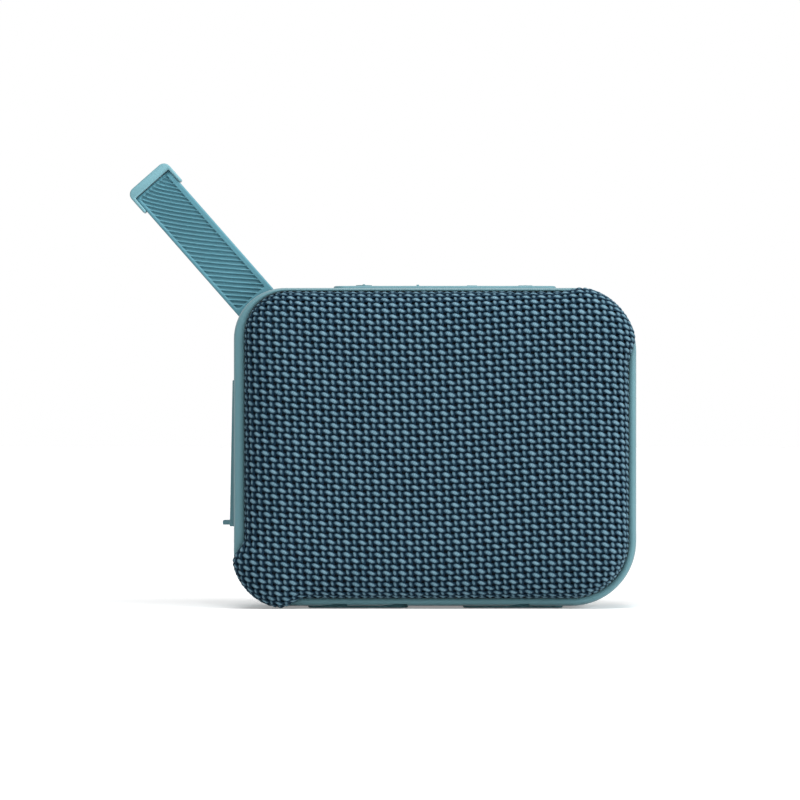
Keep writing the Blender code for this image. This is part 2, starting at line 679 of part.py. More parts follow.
def make_driver(materials):
    def turned(name, profile, key, sides=24):
        bm = bmesh.new()
        add_turned(bm, DRIVER_CENTRE, profile, sides=sides)
        return piece(name, bm, materials[key], smooth=True)

    basket_profile = [
        (24.0, -12.5), (24.0, -11.3), (19.9, -11.3), (18.9, -8.0), (14.8, -2.2), (14.8, -1.0),
        (8.2, -1.0), (8.2, -2.0), (11.5, -2.0), (11.5, -3.6), (13.6, -3.6), (17.6, -8.6),
        (18.7, -11.6), (18.9, -12.5),
    ]
    basket = turned("driver_basket", basket_profile, "black_plastic")
    windows = bmesh.new()
    for quarter in range(4):
        turn = math.radians(90 * quarter)
        out = Vector((math.cos(turn), 0, math.sin(turn)))
        side = Vector((-math.sin(turn), 0, math.cos(turn)))
        middle = Vector((DRIVER_CENTRE[0], -6.3, DRIVER_CENTRE[1])) + out * 16.5
        add_oriented_box(windows, middle, (out, Vector((0, 1, 0)), side), (3.4, 1.6, 6.5))
    for place in driver_screw_places():
        add_y_rod(windows, place, -14.0, -10.0, 1.1)
    combine(basket, windows, "basket_windows", "DIFFERENCE")

    gasket = turned("driver_gasket", [(20.6, -11.2), (24.0, -11.2), (24.0, -10.5), (20.6, -10.5)], "foam")
    gasket_holes = bmesh.new()
    for place in driver_screw_places():
        add_y_rod(gasket_holes, place, -13.0, -9.0, 1.1)
    combine(gasket, gasket_holes, "gasket_holes", "DIFFERENCE")
    for number, place in enumerate(driver_screw_places(), start=1):
        make_screw(f"driver_screw_{number}", place, -13.2, 1.5, 0.6, 0.8, -8.7, materials["steel"])

    turned("driver_top_plate", [(6.6, -0.9), (14.0, -0.9), (14.0, 1.1), (6.6, 1.1)], "plated_steel")
    turned("driver_magnet", [(8.0, 1.2), (15.0, 1.2), (15.0, 5.2), (8.0, 5.2)], "ferrite")
    yoke = bmesh.new()
    add_solid_turned(yoke, DRIVER_CENTRE, [(5.4, -0.9), (5.4, 5.3), (14.2, 5.3), (14.2, 7.3)])
    piece("driver_yoke", yoke, materials["plated_steel"], smooth=True)

    coil = turned("driver_voice_coil", [(5.7, -7.6), (6.2, -7.6), (6.2, 0.9), (5.7, 0.9)], "copper")
    cone_profile = [(6.5, -8.0), (14.9, -12.9), (14.9, -12.4), (6.5, -7.4)]
    cone = turned("driver_cone", cone_profile, "paper_cone")
    dome = [
        (1.2, -10.6), (4.0, -10.2), (5.8, -9.4), (6.7, -8.6),
        (7.2, -8.8), (6.5, -9.8), (4.4, -10.7), (1.2, -11.1),
    ]
    cap_mesh = bmesh.new()
    add_solid_turned(cap_mesh, DRIVER_CENTRE, dome)
    cap = piece("driver_dust_cap", cap_mesh, materials["paper_cone"], smooth=True)
    turned("driver_surround", half_roll(17.3, 1.85, -12.6, 15.0, 20.2), "black_rubber")

    waves = [(6.7 + 1.32 * i, -4.2 + (0.25 if i % 2 else -0.25)) for i in range(6)]
    spider_profile = waves + [(radius, y + 0.25) for radius, y in waves[::-1]]
    turned("driver_spider", spider_profile, "spider_cloth")
    x, z = DRIVER_CENTRE
    pivot("driver_axis", (x, -10.0, z), [coil, cone, cap])


def make_radiator(materials):
    centre, straight = RADIATOR_CENTRE, RADIATOR_STRAIGHT
    frame = bmesh.new()
    section = [(14.0, -12.5), (14.0, -10.5), (11.6, -10.5), (11.6, -12.5)]
    add_turned(frame, centre, section, straight)
    piece("radiator_frame", frame, materials["black_plastic"], smooth=True)
    surround = bmesh.new()
    add_turned(surround, centre, half_roll(9.3, 1.9, -12.6, 7.0, 13.3), straight)
    piece("radiator_surround", surround, materials["black_rubber"], smooth=True)
    plate_mesh = bmesh.new()
    add_solid_turned(plate_mesh, centre, [(6.9, -12.9), (6.9, -10.0)], straight)
    plate = piece("radiator_plate", plate_mesh, materials["plated_steel"], smooth=True)
    pivot("radiator_axis", (centre[0], -11.0, centre[1]), [plate])


# ------------------------------------------------------------------ electronics
USB_Z = 27.5
AUX_Z = 36.0
CARD_Z = 46.1
MOUTH_X = -46.0


def make_box_piece(name, low, high, material):
    bm = bmesh.new()
    add_box(bm, low, high)
    return piece(name, bm, material)


def make_main_board(materials):
    low, high = zip(BOARD_X, BOARD_Y, BOARD_Z)
    board = make_box_piece("main_board", low, high, materials["circuit_board"])
    holes = bmesh.new()
    for place in BOARD_SCREW_PLACES:
        add_y_rod(holes, place, BOARD_Y[0] - 2, BOARD_Y[1] + 2, 1.2)
    combine(board, holes, "main_board_holes", "DIFFERENCE")
    for number, place in enumerate(BOARD_SCREW_PLACES, start=1):
        make_screw(f"board_screw_{number}", place, 7.5, 1.9, 0.8, 0.9, 14.0, materials["steel"])
    front = BOARD_Y[0] - THIN_GAP
    make_box_piece("radio_module", (-12.0, 6.4, 15.8), (-1.0, front, 24.0), materials["plated_steel"])
    back = BOARD_Y[1] + THIN_GAP
    make_box_piece("battery_plug", (-4.0, back, 30.0), (2.6, 13.2, 37.0), materials["black_plastic"])


def make_ports(materials):
    mount_y = BOARD_Y[0] - THIN_GAP
    usb = make_box_piece(
        "usb_c_port", (MOUTH_X, 5.0, USB_Z - 4.47), (-38.8, mount_y, USB_Z + 4.47), materials["steel"]
    )
    pocket = bmesh.new()
    add_box(pocket, (MOUTH_X - 2, 5.35, USB_Z - 4.15), (-40.2, 7.95, USB_Z + 4.15))
    combine(usb, pocket, "usb_c_pocket", "DIFFERENCE")
    tongue = bmesh.new()
    add_box(tongue, (MOUTH_X + 0.6, 6.3, USB_Z - 3.3), (-39.8, 7.0, USB_Z + 3.3))
    combine(usb, tongue, "usb_c_tongue", "UNION")

    aux = make_box_piece(
        "aux_jack", (MOUTH_X, 2.9, AUX_Z - 3.1), (-34.0, mount_y, AUX_Z + 3.1), materials["black_plastic"]
    )
    bore = bmesh.new()
    add_rod(bore, (MOUTH_X - 2, 5.6, AUX_Z), (-35.0, 5.6, AUX_Z), 1.8)
    combine(aux, bore, "aux_jack_bore", "DIFFERENCE")

    card = make_box_piece(
        "card_slot", (MOUTH_X, 6.6, CARD_Z - 5.7), (-31.5, mount_y, CARD_Z + 5.7), materials["steel"]
    )
    slot = bmesh.new()
    add_box(slot, (MOUTH_X - 2, 6.95, CARD_Z - 5.2), (-32.5, 7.85, CARD_Z + 5.2))
    combine(card, slot, "card_slot_mouth", "DIFFERENCE")

    low = (-47.3, PORT_Y[0] + GAP, PORT_Z[0] + GAP)
    high = (-46.3, PORT_Y[1] - GAP, PORT_Z[1] - GAP)
    bezel = make_box_piece("port_bezel", low, high, materials["black_plastic"])
    mouths = bmesh.new()
    add_box(mouths, (-49.0, 4.7, USB_Z - 4.8), (-45.0, 8.5, USB_Z + 4.8))
    add_rod(mouths, (-49.0, 5.6, AUX_Z), (-45.0, 5.6, AUX_Z), 2.4)
    add_box(mouths, (-49.0, 6.4, CARD_Z - 5.4), (-45.0, 8.4, CARD_Z + 5.4))
    combine(bezel, mouths, "port_bezel_mouths", "DIFFERENCE")


def make_key_board(materials):
    low_z, high_z = KEY_BOARD_Z
    low, high = (-24.0, -3.6, low_z), (29.0, 6.2, high_z)
    board = make_box_piece("key_board", low, high, materials["circuit_board"])
    holes = bmesh.new()
    for x in KEY_POST_X:
        add_rod(holes, (x, BUTTON_Y, low_z - 2), (x, BUTTON_Y, high_z + 2), 1.1)
    combine(board, holes, "key_board_holes", "DIFFERENCE")
    for name, x in zip(BUTTON_NAMES, button_places()):
        bottom = high_z + THIN_GAP
        switch_name = name.replace("button", "switch")
        switch = make_box_piece(
            switch_name, (x - 3, BUTTON_Y - 2.2, bottom), (x + 3, BUTTON_Y + 2.2, bottom + 1.4),
            materials["black_plastic"],
        )
        plunger = bmesh.new()
        add_rod(plunger, (x, BUTTON_Y, bottom + 1), (x, BUTTON_Y, high_z + SWITCH_HEIGHT), 1.6)
        combine(switch, plunger, switch_name + "_plunger", "UNION")


def make_key_cable(material):
    """A flat film that runs from under the key board down the front of the main board."""
    path = [(3.0, 70.5), (6.2, 70.4), (7.2, 69.3), (7.6, 63.0), (8.1, 57.0), (8.1, 50.5)]
    half = 0.12
    rings = []
    for i, (y, z) in enumerate(path):
        before, after = path[max(i - 1, 0)], path[min(i + 1, len(path) - 1)]
        along = Vector((after[0] - before[0], after[1] - before[1])).normalized()
        off_y, off_z = -along[1] * half, along[0] * half
        corners = ((-12.0, -1), (-6.0, -1), (-6.0, 1), (-12.0, 1))
        rings.append([Vector((x, y + side * off_y, z + side * off_z)) for x, side in corners])
    bm = bmesh.new()
    add_loft(bm, rings)
    piece("key_cable", bm, material)


def make_wire(name, path, material):
    bm = bmesh.new()
    add_tube(bm, path, WIRE_RADIUS)
    piece(name, bm, material, smooth=True)


def make_battery(materials):
    bm = bmesh.new()
    add_box(bm, (9.0, 8.4, 15.8), (41.0, 15.4, 63.5))
    battery = piece("battery_cell", bm, materials["battery_wrap"])
    bevel = battery.modifiers.new("rounded_edges", "BEVEL")
    bevel.width = 1.5 * MM
    bevel.segments = 2
    make_box_piece("battery_foam", (11.0, 15.6, 17.0), (39.0, 16.7, 61.0), materials["foam"])
    for name, z, jacket in (
        ("battery_wire_red", 34.6, "red_wire"),
        ("battery_wire_black", 32.4, "black_rubber"),
    ):
        path = ((2.8, 11.6, z), (4.4, 11.6, z + 0.7), (7.2, 11.8, z + 0.7), (8.8, 11.8, z))
        make_wire(name, path, materials[jacket])


def make_driver_wiring(materials):
    make_box_piece("driver_terminal", (3.4, -7.0, 36.0), (4.6, -1.2, 43.4), materials["circuit_board"])
    for name, z, jacket in (
        ("driver_wire_red", 41.5, "red_wire"),
        ("driver_wire_black", 38.0, "black_rubber"),
    ):
        path = ((4.0, -1.0, z), (4.4, 2.0, z), (3.6, 5.0, z), (1.8, 7.2, z), (1.6, 8.2, z))
        make_wire(name, path, materials[jacket])


def make_case_screws(material):
    for number, place in enumerate(CASE_SCREW_PLACES, start=1):
        make_screw(f"case_screw_{number}", place, -11.4, 2.2, 0.9, 1.0, 1.5, material)


def build():
    clear_scene()
    materials = make_materials()
    make_sleeve(materials["teal_silicone"])
    make_grille(materials)
    make_feet(materials["teal_silicone"])
    make_buttons(materials["teal_silicone"])
    make_flap(materials["teal_silicone"])
    make_strap(materials)
    make_rear_housing(materials["black_plastic"])
    make_baffle(materials)
    make_case_screws(materials["steel"])
    make_driver(materials)
    make_radiator(materials)
    make_main_board(materials)
    make_ports(materials)
    make_key_board(materials)
    make_key_cable(materials["flex_film"])
    make_battery(materials)
    make_driver_wiring(materials)


build()
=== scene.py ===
"""The looks of the portable speaker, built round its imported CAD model.

Lengths are in millimetres until a mesh is made. The frame is the CAD's: +Z up, the fabric
front faces -Y, and the origin is the middle of the sleeve's underside.
"""

import json
import math
from itertools import product

import bmesh
import bpy
import numpy as np
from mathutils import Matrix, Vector


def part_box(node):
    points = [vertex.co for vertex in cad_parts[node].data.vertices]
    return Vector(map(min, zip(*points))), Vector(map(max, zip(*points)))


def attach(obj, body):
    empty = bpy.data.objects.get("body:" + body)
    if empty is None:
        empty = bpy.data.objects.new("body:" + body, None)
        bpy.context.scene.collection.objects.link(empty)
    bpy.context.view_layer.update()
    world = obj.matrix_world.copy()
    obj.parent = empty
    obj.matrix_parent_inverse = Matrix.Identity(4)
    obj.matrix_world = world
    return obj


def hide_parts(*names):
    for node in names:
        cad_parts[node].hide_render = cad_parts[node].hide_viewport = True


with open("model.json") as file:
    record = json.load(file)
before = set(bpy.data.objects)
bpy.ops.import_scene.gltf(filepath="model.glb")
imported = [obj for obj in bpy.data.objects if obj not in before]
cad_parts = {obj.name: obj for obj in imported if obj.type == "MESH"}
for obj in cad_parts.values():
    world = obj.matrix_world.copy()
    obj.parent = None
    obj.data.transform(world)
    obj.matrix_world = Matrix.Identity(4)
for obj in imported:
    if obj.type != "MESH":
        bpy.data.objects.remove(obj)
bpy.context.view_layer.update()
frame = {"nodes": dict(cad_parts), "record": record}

MM = 0.001
GAP = 0.3  # between the sleeve and each part that sits in it


def node_box(name):
    """The lowest and highest corner of a CAD node, in millimetres."""
    low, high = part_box(name)
    return np.array(low) / MM, np.array(high) / MM


# ---- sizes of the body
SLEEVE_LOW, SLEEVE_HIGH = node_box("rubber_sleeve")
HOUSING_INSET = 2.3  # the baffle sits this far inside the body outline on every side
BODY_WIDTH = SLEEVE_HIGH[0] - SLEEVE_LOW[0]
BODY_HEIGHT = node_box("front_baffle")[1][2] + HOUSING_INSET
PANEL_TOP = SLEEVE_HIGH[2]  # top of the raised key panel
BACK_Y = SLEEVE_HIGH[1]
CROWN_Y = node_box("fabric_cover")[0][1]  # the cloth's foremost face
SEAM_Y = -13.3  # where the cloth meets the sleeve's lip
WALL = 2.0

# Corners and quarters are always listed upper right, upper left, lower left, lower right.
SIGNS = ((1, 1), (-1, 1), (-1, -1), (1, -1))
RADII = (16.0, 12.7, 13.5, 16.2)
WRAPPED = (True, False, True, False)  # where the cloth wraps round the body's edge
WRAP_BACK = 13.5  # how far back it runs there
RIM = np.array((3.1, 2.4, 2.4, 1.3))  # fabric edge inside the outline: left, right, bottom, top


def beside_corner(values, signs):
    """The two of the left, right, bottom and top values that meet at a corner."""
    return values[1 if signs[0] > 0 else 0], values[3 if signs[1] > 0 else 2]


# ---- small maths
def smooth_step(value):
    """0 below 0, 1 above 1 and a smooth rise between."""
    share = np.clip(value, 0.0, 1.0)
    return share * share * (3 - 2 * share)


def mix(first, second, share):
    """The first where share is 0, the second where it is 1."""
    return first + (second - first) * share


def spline(points, steps):
    """Points along a Catmull-Rom curve through the given ones, of any dimension."""
    points = np.asarray(points, float)
    before, after = 2 * points[0] - points[1], 2 * points[-1] - points[-2]
    padded = np.concatenate([before[None], points, after[None]])
    found = []
    for i in range(1, len(padded) - 2):
        a, b, c, d = padded[i - 1 : i + 3]
        for t in np.arange(steps) / steps:
            lead = 2 * b + (c - a) * t + (2 * a - 5 * b + 4 * c - d) * t**2
            found.append(0.5 * (lead + (3 * b - a - 3 * c + d) * t**3))
    return np.array(found + [points[-1]])


# ---- meshes
SHARP_ANGLE = 40  # degrees between faces from which an edge is shaded as a crease
CORNER_STEPS = 6
EDGE_STEPS = 4
DOME_RINGS = ((1.2, 0.6), (3.0, 1.0))  # inset from a pad's rounded edge, share of its dome
BLOCK_FACES = [(0, 1, 3, 2), (4, 6, 7, 5), (0, 4, 5, 1), (2, 3, 7, 6), (0, 2, 6, 4), (1, 5, 7, 3)]


def place_mesh(name, mesh, material):
    """An object of this mesh, in the scene."""
    mesh.materials.append(material)
    made = bpy.data.objects.new(name, mesh)
    bpy.context.scene.collection.objects.link(made)
    return made


def make_object(name, verts, faces, finish="teal_silicone", smooth=True):
    """An object from millimetre points and faces, with its faces turned outwards."""
    mesh = bpy.data.meshes.new(name)
    mesh.from_pydata((np.asarray(verts, float) * MM).tolist(), [], faces)
    bm = bmesh.new()
    bm.from_mesh(mesh)
    bmesh.ops.recalc_face_normals(bm, faces=bm.faces)
    bm.to_mesh(mesh)
    bm.free()
    if smooth:
        mesh.shade_smooth()
    return place_mesh(name, mesh, materials[finish])


def loft_faces(rows, columns, closed_path=False, start=0):
    """Quads between `rows` loops of `columns` points, with the ends capped or joined."""
    faces = []
    for row in range(rows if closed_path else rows - 1):
        here = start + row * columns
        there = start + ((row + 1) % rows) * columns
        for i in range(columns):
            j = (i + 1) % columns
            faces.append((here + i, here + j, there + j, there + i))
    if not closed_path:
        last = start + (rows - 1) * columns
        faces += [tuple(range(start, start + columns)), tuple(range(last, last + columns))]
    return faces


def make_loft(name, rings, finish="teal_silicone", closed_path=False, smooth=True):
    """An object through loops of points, capped at its ends or closed on itself."""
    rings = np.asarray(rings, float)
    faces = loft_faces(*rings.shape[:2], closed_path)
    return make_object(name, rings.reshape(-1, 3), faces, finish, smooth)


def make_block(name, low, high):
    """A plain block, as a tool for cuts or as a part that is softened later."""
    corners = list(product(*zip(low, high)))
    return make_object(name, corners, BLOCK_FACES, smooth=False)


def make_prism(name, outline, low, high):
    """A plate in the XY plane with the given outline, as a tool or a part like a block."""
    rings = [[(x, y, z) for x, y in outline] for z in (low, high)]
    return make_loft(name, rings, smooth=False)


def rounded_rectangle(centre, size, radius):
    """Points of a rounded rectangle in its own plane."""
    points = []
    for quarter, (sign_u, sign_v) in enumerate(SIGNS):
        for step in range(CORNER_STEPS + 1):
            turn = math.radians(90 * quarter + 90 * step / CORNER_STEPS)
            u = centre[0] + sign_u * (size[0] / 2 - radius) + radius * math.cos(turn)
            v = centre[1] + sign_v * (size[1] / 2 - radius) + radius * math.sin(turn)
            points.append((u, v))
    return points


def make_pad(name, centre, size, radius, low, high, edge, dome=0.0, finish="teal_silicone"):
    """A plate in the XY plane from low to high with a rounded upper edge and a slight dome."""
    levels = [(0.0, low)]
    for step in range(EDGE_STEPS + 1):
        turn = math.radians(90 * step / EDGE_STEPS)
        levels.append((edge * (1 - math.cos(turn)), high - edge * (1 - math.sin(turn))))
    levels += [(edge + inset, high + dome * share) for inset, share in DOME_RINGS]
    rings = []
    for inset, z in levels:
        corner = max(radius - inset, 0.4)
        outline = rounded_rectangle(centre, (size[0] - 2 * inset, size[1] - 2 * inset), corner)
        rings.append([(x, y, z) for x, y in outline])
    return make_loft(name, rings, finish)


def sharpen(obj, degrees=SHARP_ANGLE):
    """Marks the edges that are shaded as creases."""
    obj.data.set_sharp_from_angle(angle=math.radians(degrees))


def apply_modifiers(obj):
    """Bakes the object's modifiers into its mesh."""
    bpy.context.view_layer.update()
    graph = bpy.context.evaluated_depsgraph_get()
    mesh = bpy.data.meshes.new_from_object(obj.evaluated_get(graph))
    obj.modifiers.clear()
    obj.data = mesh


def combine(target, tools, operation):
    """Joins the tools to the target or cuts them out of it, and removes them."""
    for number, tool in enumerate(tools):
        modifier = target.modifiers.new(f"{operation}_{number}", "BOOLEAN")
        modifier.operation = operation
        modifier.object = tool
    apply_modifiers(target)
    for tool in tools:
        bpy.data.objects.remove(tool, do_unlink=True)


def soften(obj, width, degrees=35):
    """Rounds every edge sharper than an angle, and bakes the result."""
    bevel = obj.modifiers.new("soften", "BEVEL")
    bevel.width = width * MM
    bevel.segments = 3
    bevel.limit_method = "ANGLE"
    bevel.angle_limit = math.radians(degrees)
    apply_modifiers(obj)
    obj.data.shade_smooth()
    sharpen(obj)


def even_shading(obj):
    """Keeps the large faces flat in the shading, so that only the rounded edges turn."""
    even = obj.modifiers.new("even_shading", "WEIGHTED_NORMAL")
    even.keep_sharp = True
    even.weight = 100
    even.thresh = 1.0
    apply_modifiers(obj)


def join(name, objects):
    """One object from several that ride on the same body."""
    bm = bmesh.new()
    for obj in objects:
        bm.from_mesh(obj.data)
    mesh = bpy.data.meshes.new(name)
    bm.to_mesh(mesh)
    bm.free()
    made = place_mesh(name, mesh, objects[0].data.materials[0])
    for obj in objects:
        bpy.data.objects.remove(obj, do_unlink=True)
    return made


SLOTS = {entry["node"]: entry["material_slot"] for entry in frame["record"]["subparts"]}


def hand_over(obj, body, node):
    """The piece rides on a body and stands for a CAD node, which it hides."""
    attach(obj, body)
    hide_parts(node)


# ---- materials
def colour(rgb, level=1.0):
    """An sRGB colour of 0 to 255, times a level, as the linear colour that a shader takes."""
    shares = np.minimum(np.multiply(rgb, level), 255) / 255
    linear = np.where(shares <= 0.04045, shares / 12.92, ((shares + 0.055) / 1.055) ** 2.4)
    return (*linear.tolist(), 1.0)


def grey(level):
    """A grey of a linear level."""
    return (level, level, level, 1.0)


class Shader:
    """A material under construction, with one Principled shader at its end."""

    def __init__(self, name):
        self.material = bpy.data.materials.new(name)
        self.material.use_nodes = True
        self.tree = self.material.node_tree
        self.end = self.tree.nodes["Principled BSDF"]
        self.place = self.add("ShaderNodeTexCoord").outputs["Object"]

    def feed(self, node, inputs):
        """Gives a node's inputs, by name or number, a fixed value or another node's output."""
        for name, value in inputs.items():
            if hasattr(value, "is_output"):
                self.tree.links.new(value, node.inputs[name])
            else:
                node.inputs[name].default_value = value

    def add(self, kind, inputs=None, **settings):
        """A new node with some of its inputs and settings given."""
        node = self.tree.nodes.new(kind)
        for name, value in settings.items():
            setattr(node, name, value)
        self.feed(node, inputs or {})
        return node

    def set(self, inputs):
        """Gives the Principled shader some of its inputs."""
        self.feed(self.end, inputs)

    def noise(self, scale, detail=4.0, roughness=0.55, place=None):
        """Noise with features of about 1/scale metres."""
        place = self.place if place is None else place
        inputs = {"Vector": place, "Scale": scale, "Detail": detail, "Roughness": roughness}
        return self.add("ShaderNodeTexNoise", inputs).outputs["Fac"]

    def mapped(self, place, name, value):
        """Coordinates after a change of their "Scale" or "Rotation"."""
        return self.add("ShaderNodeMapping", {"Vector": place, name: value}).outputs["Vector"]

    def math(self, operation, first, second=0.0):
        """A math node; its inputs are sockets or numbers."""
        inputs = {0: first, 1: second}
        return self.add("ShaderNodeMath", inputs, operation=operation).outputs["Value"]

    def rise(self, source, low, high):
        """A smooth step from 0 at low to 1 at high."""
        inputs = {"Value": source, "From Min": low, "From Max": high}
        node = self.add("ShaderNodeMapRange", inputs, interpolation_type="SMOOTHSTEP")
        return node.outputs["Result"]

    def between(self, share, low, high):
        """A value that runs from low to high as share goes from 0 to 1."""
        inputs = {"Value": share, "To Min": low, "To Max": high}
        return self.add("ShaderNodeMapRange", inputs).outputs["Result"]

    def ramp(self, source, *stops):
        """A colour that turns from one stop's to the other's; a stop is a value and a colour."""
        node = self.add("ShaderNodeValToRGB", {"Fac": source})
        for element, (position, rgba) in zip(node.color_ramp.elements, stops):
            element.position = position
            element.color = rgba
        return node.outputs["Color"]

    def blend(self, share, first, second):
        """The first colour where share is 0, the second where it is 1."""
        share_input, first_input, second_input, colour_output = 0, 6, 7, 2
        inputs = {share_input: share, first_input: first, second_input: second}
        return self.add("ShaderNodeMix", inputs, data_type="RGBA").outputs[colour_output]

    def bump(self, height, distance, strength, after=None):
        """Adds relief `distance` millimetres deep; returns the normal for a next layer."""
        inputs = {"Height": height, "Distance": distance * MM, "Strength": strength}
        if after is not None:
            inputs["Normal"] = after
        normal = self.add("ShaderNodeBump", inputs).outputs["Normal"]
        self.set({"Normal": normal})
        return normal


def silicone(name, rgb, relief=False):
    """Matt moulded silicone with a slow tint drift and a fine skin.

    With relief, raised edges get a painted highlight and the grooves painted shade, which needs a
    densely meshed piece.
    """
    shader = Shader(name)
    tint = shader.ramp(shader.noise(35, 2.0), (0.3, colour(rgb, 0.97)), (0.7, colour(rgb, 1.03)))
    if relief:
        # Painted highlight on raised edges and painted shade in the grooves, read from the mesh's
        # pointiness.
        pointiness = shader.add("ShaderNodeNewGeometry").outputs["Pointiness"]
        edges = shader.ramp(pointiness, (0.5, grey(0.0)), (0.6, grey(0.35)))
        tint = shader.blend(edges, tint, colour(rgb, 1.22))
        groove_shade = shader.ramp(pointiness, (0.42, grey(0.8)), (0.5, grey(0.0)))
        tint = shader.blend(groove_shade, tint, colour(rgb, (0.58, 0.77, 0.8)))
    roughness = shader.between(shader.noise(300, 5.0), 0.43, 0.6)
    skin = shader.bump(shader.noise(2600, 2.0), 0.02, 0.5)
    shader.bump(shader.noise(240, 3.0), 0.05, 0.25, after=skin)
    shader.set({"Base Color": tint, "Roughness": roughness, "Specular IOR Level": 0.4})
    shader.set({"Sheen Weight": 0.25, "Sheen Roughness": 0.5})
    return shader.material


# The yarn's pale and middle tones, and the navy of the painted shade where its threads dive and on
# their undersides.
YARN_TONES_AND_SHADE = ((112, 145, 160), (62, 101, 118), (3, 36, 54))  # pale, middle and navy


def yarn(name, middle, narrow, lean, tilt, low, high):
    """Twisted yarn of two tones with painted shade, on threads whose UVs run along and round them.

    U grows by 2 from float to float and is even in a float's middle; V turns once round the
    thread. The yarn's own tones show in an oval patch on top of each float; round it, where the
    thread dives and on its underside, it is painted shade in navy. middle is the patch's place
    across the thread and narrow how slim it is; lean shifts it along the float, tilt turns it,
    and low and high are the patch's outer and inner edge.
    """
    shader = Shader(name)
    calc = shader.math
    uv = shader.add("ShaderNodeUVMap", uv_map="UVMap").outputs["UV"]
    parts = shader.add("ShaderNodeSeparateXYZ", {"Vector": uv})
    along = calc("MULTIPLY", parts.outputs["X"], math.pi)
    around = calc("MULTIPLY", parts.outputs["Y"], 2 * math.pi)
    beside = calc("SINE", along)
    across = calc("COSINE", around)
    aside = calc("SUBTRACT", across, middle)
    fall = calc("MULTIPLY", calc("MULTIPLY", aside, aside), narrow)
    share = calc("SUBTRACT", calc("COSINE", along), fall)
    share = calc("ADD", share, calc("MULTIPLY", beside, lean))
    share = calc("ADD", share, calc("MULTIPLY", calc("MULTIPLY", beside, across), tilt))
    # Painted shade on the thread's underside: the yarn's tones show only on its outward half.
    outside = shader.rise(calc("SINE", around), -0.3, 0.2)
    pale = calc("MULTIPLY", shader.rise(share, low, high), outside)

    turned = shader.mapped(uv, "Rotation", (0, 0, math.radians(38)))
    inputs = {"Vector": turned, "Scale": 1.9, "Distortion": 2.2, "Detail": 2.0, "Detail Scale": 2.5}
    wave = shader.add("ShaderNodeTexWave", inputs, wave_type="BANDS", bands_direction="X")
    twist = wave.outputs["Fac"]
    mottled = shader.noise(420, 4.0, 0.7)
    # deep is the navy of the painted shade.
    light, dark, deep = (colour(rgb) for rgb in YARN_TONES_AND_SHADE)
    strands = calc("ADD", calc("MULTIPLY", twist, 0.45), mottled)
    tint = shader.ramp(strands, (0.35, dark), (0.85, light))
    shader.bump(twist, 0.06, 0.6)
    shader.set({"Base Color": shader.blend(pale, deep, tint), "Specular IOR Level": 0.2})
    shader.set({"Roughness": shader.between(mottled, 0.7, 0.9)})
    return shader.material


def plastic(name, rgb, roughness=0.5, grain=900):
    """Moulded plastic with a fine spark-eroded grain."""
    shader = Shader(name)
    tint = shader.ramp(shader.noise(90, 3.0), (0.3, colour(rgb, 0.85)), (0.7, colour(rgb)))
    matt = shader.between(shader.noise(grain / 3), roughness - 0.1, roughness + 0.1)
    shader.bump(shader.noise(grain * 3, 2.0), 0.02, 0.5)
    shader.set({"Base Color": tint, "Roughness": matt})
    return shader.material


def metal(name, rgb, roughness, streaks=700):
    """Machined or plated metal with fine streaks."""
    shader = Shader(name)
    stretched = shader.mapped(shader.place, "Scale", (1.0, 1.0, 14.0))
    streak = shader.noise(streaks, 5.0, 0.5, stretched)
    tint = shader.ramp(streak, (0.35, colour(rgb, 0.8)), (0.65, colour(rgb)))
    matt = shader.between(streak, roughness - 0.08, roughness + 0.12)
    shader.bump(streak, 0.01, 0.4)
    shader.set({"Base Color": tint, "Roughness": matt, "Metallic": 1.0})
    return shader.material


def pressed_fibre(name, rgb, scale=1500, relief=0.05):
    """Paper, felt, foam or cloth: a mottled, rough and slightly furry surface."""
    shader = Shader(name)
    fibres = shader.noise(scale, 6.0, 0.7)
    tint = shader.ramp(fibres, (0.3, colour(rgb, 0.7)), (0.7, colour(rgb)))
    cells = shader.add("ShaderNodeTexVoronoi", {"Vector": shader.place, "Scale": scale})
    shader.bump(cells.outputs["Distance"], relief, 0.6)
    shader.set({"Base Color": tint, "Roughness": 0.9, "Sheen Weight": 0.15})
    return shader.material


def circuit(name, rgb):
    """Solder mask over copper tracks: a fine grid of paler lines and pads."""
    shader = Shader(name)
    grid_inputs = {
        "Vector": shader.mapped(shader.place, "Rotation", (math.radians(90), 0, 0)),
        "Scale": 260,
        "Color1": colour(rgb),
        "Color2": colour(rgb, 0.8),
        "Mortar": colour(rgb, 1.5),
        "Mortar Size": 0.04,
    }
    grid = shader.add("ShaderNodeTexBrick", grid_inputs)
    shader.bump(grid.outputs["Fac"], 0.03, 0.5)
    matt = shader.between(shader.noise(500, 3.0), 0.3, 0.5)
    shader.set({"Base Color": grid.outputs["Color"], "Roughness": matt})
    return shader.material


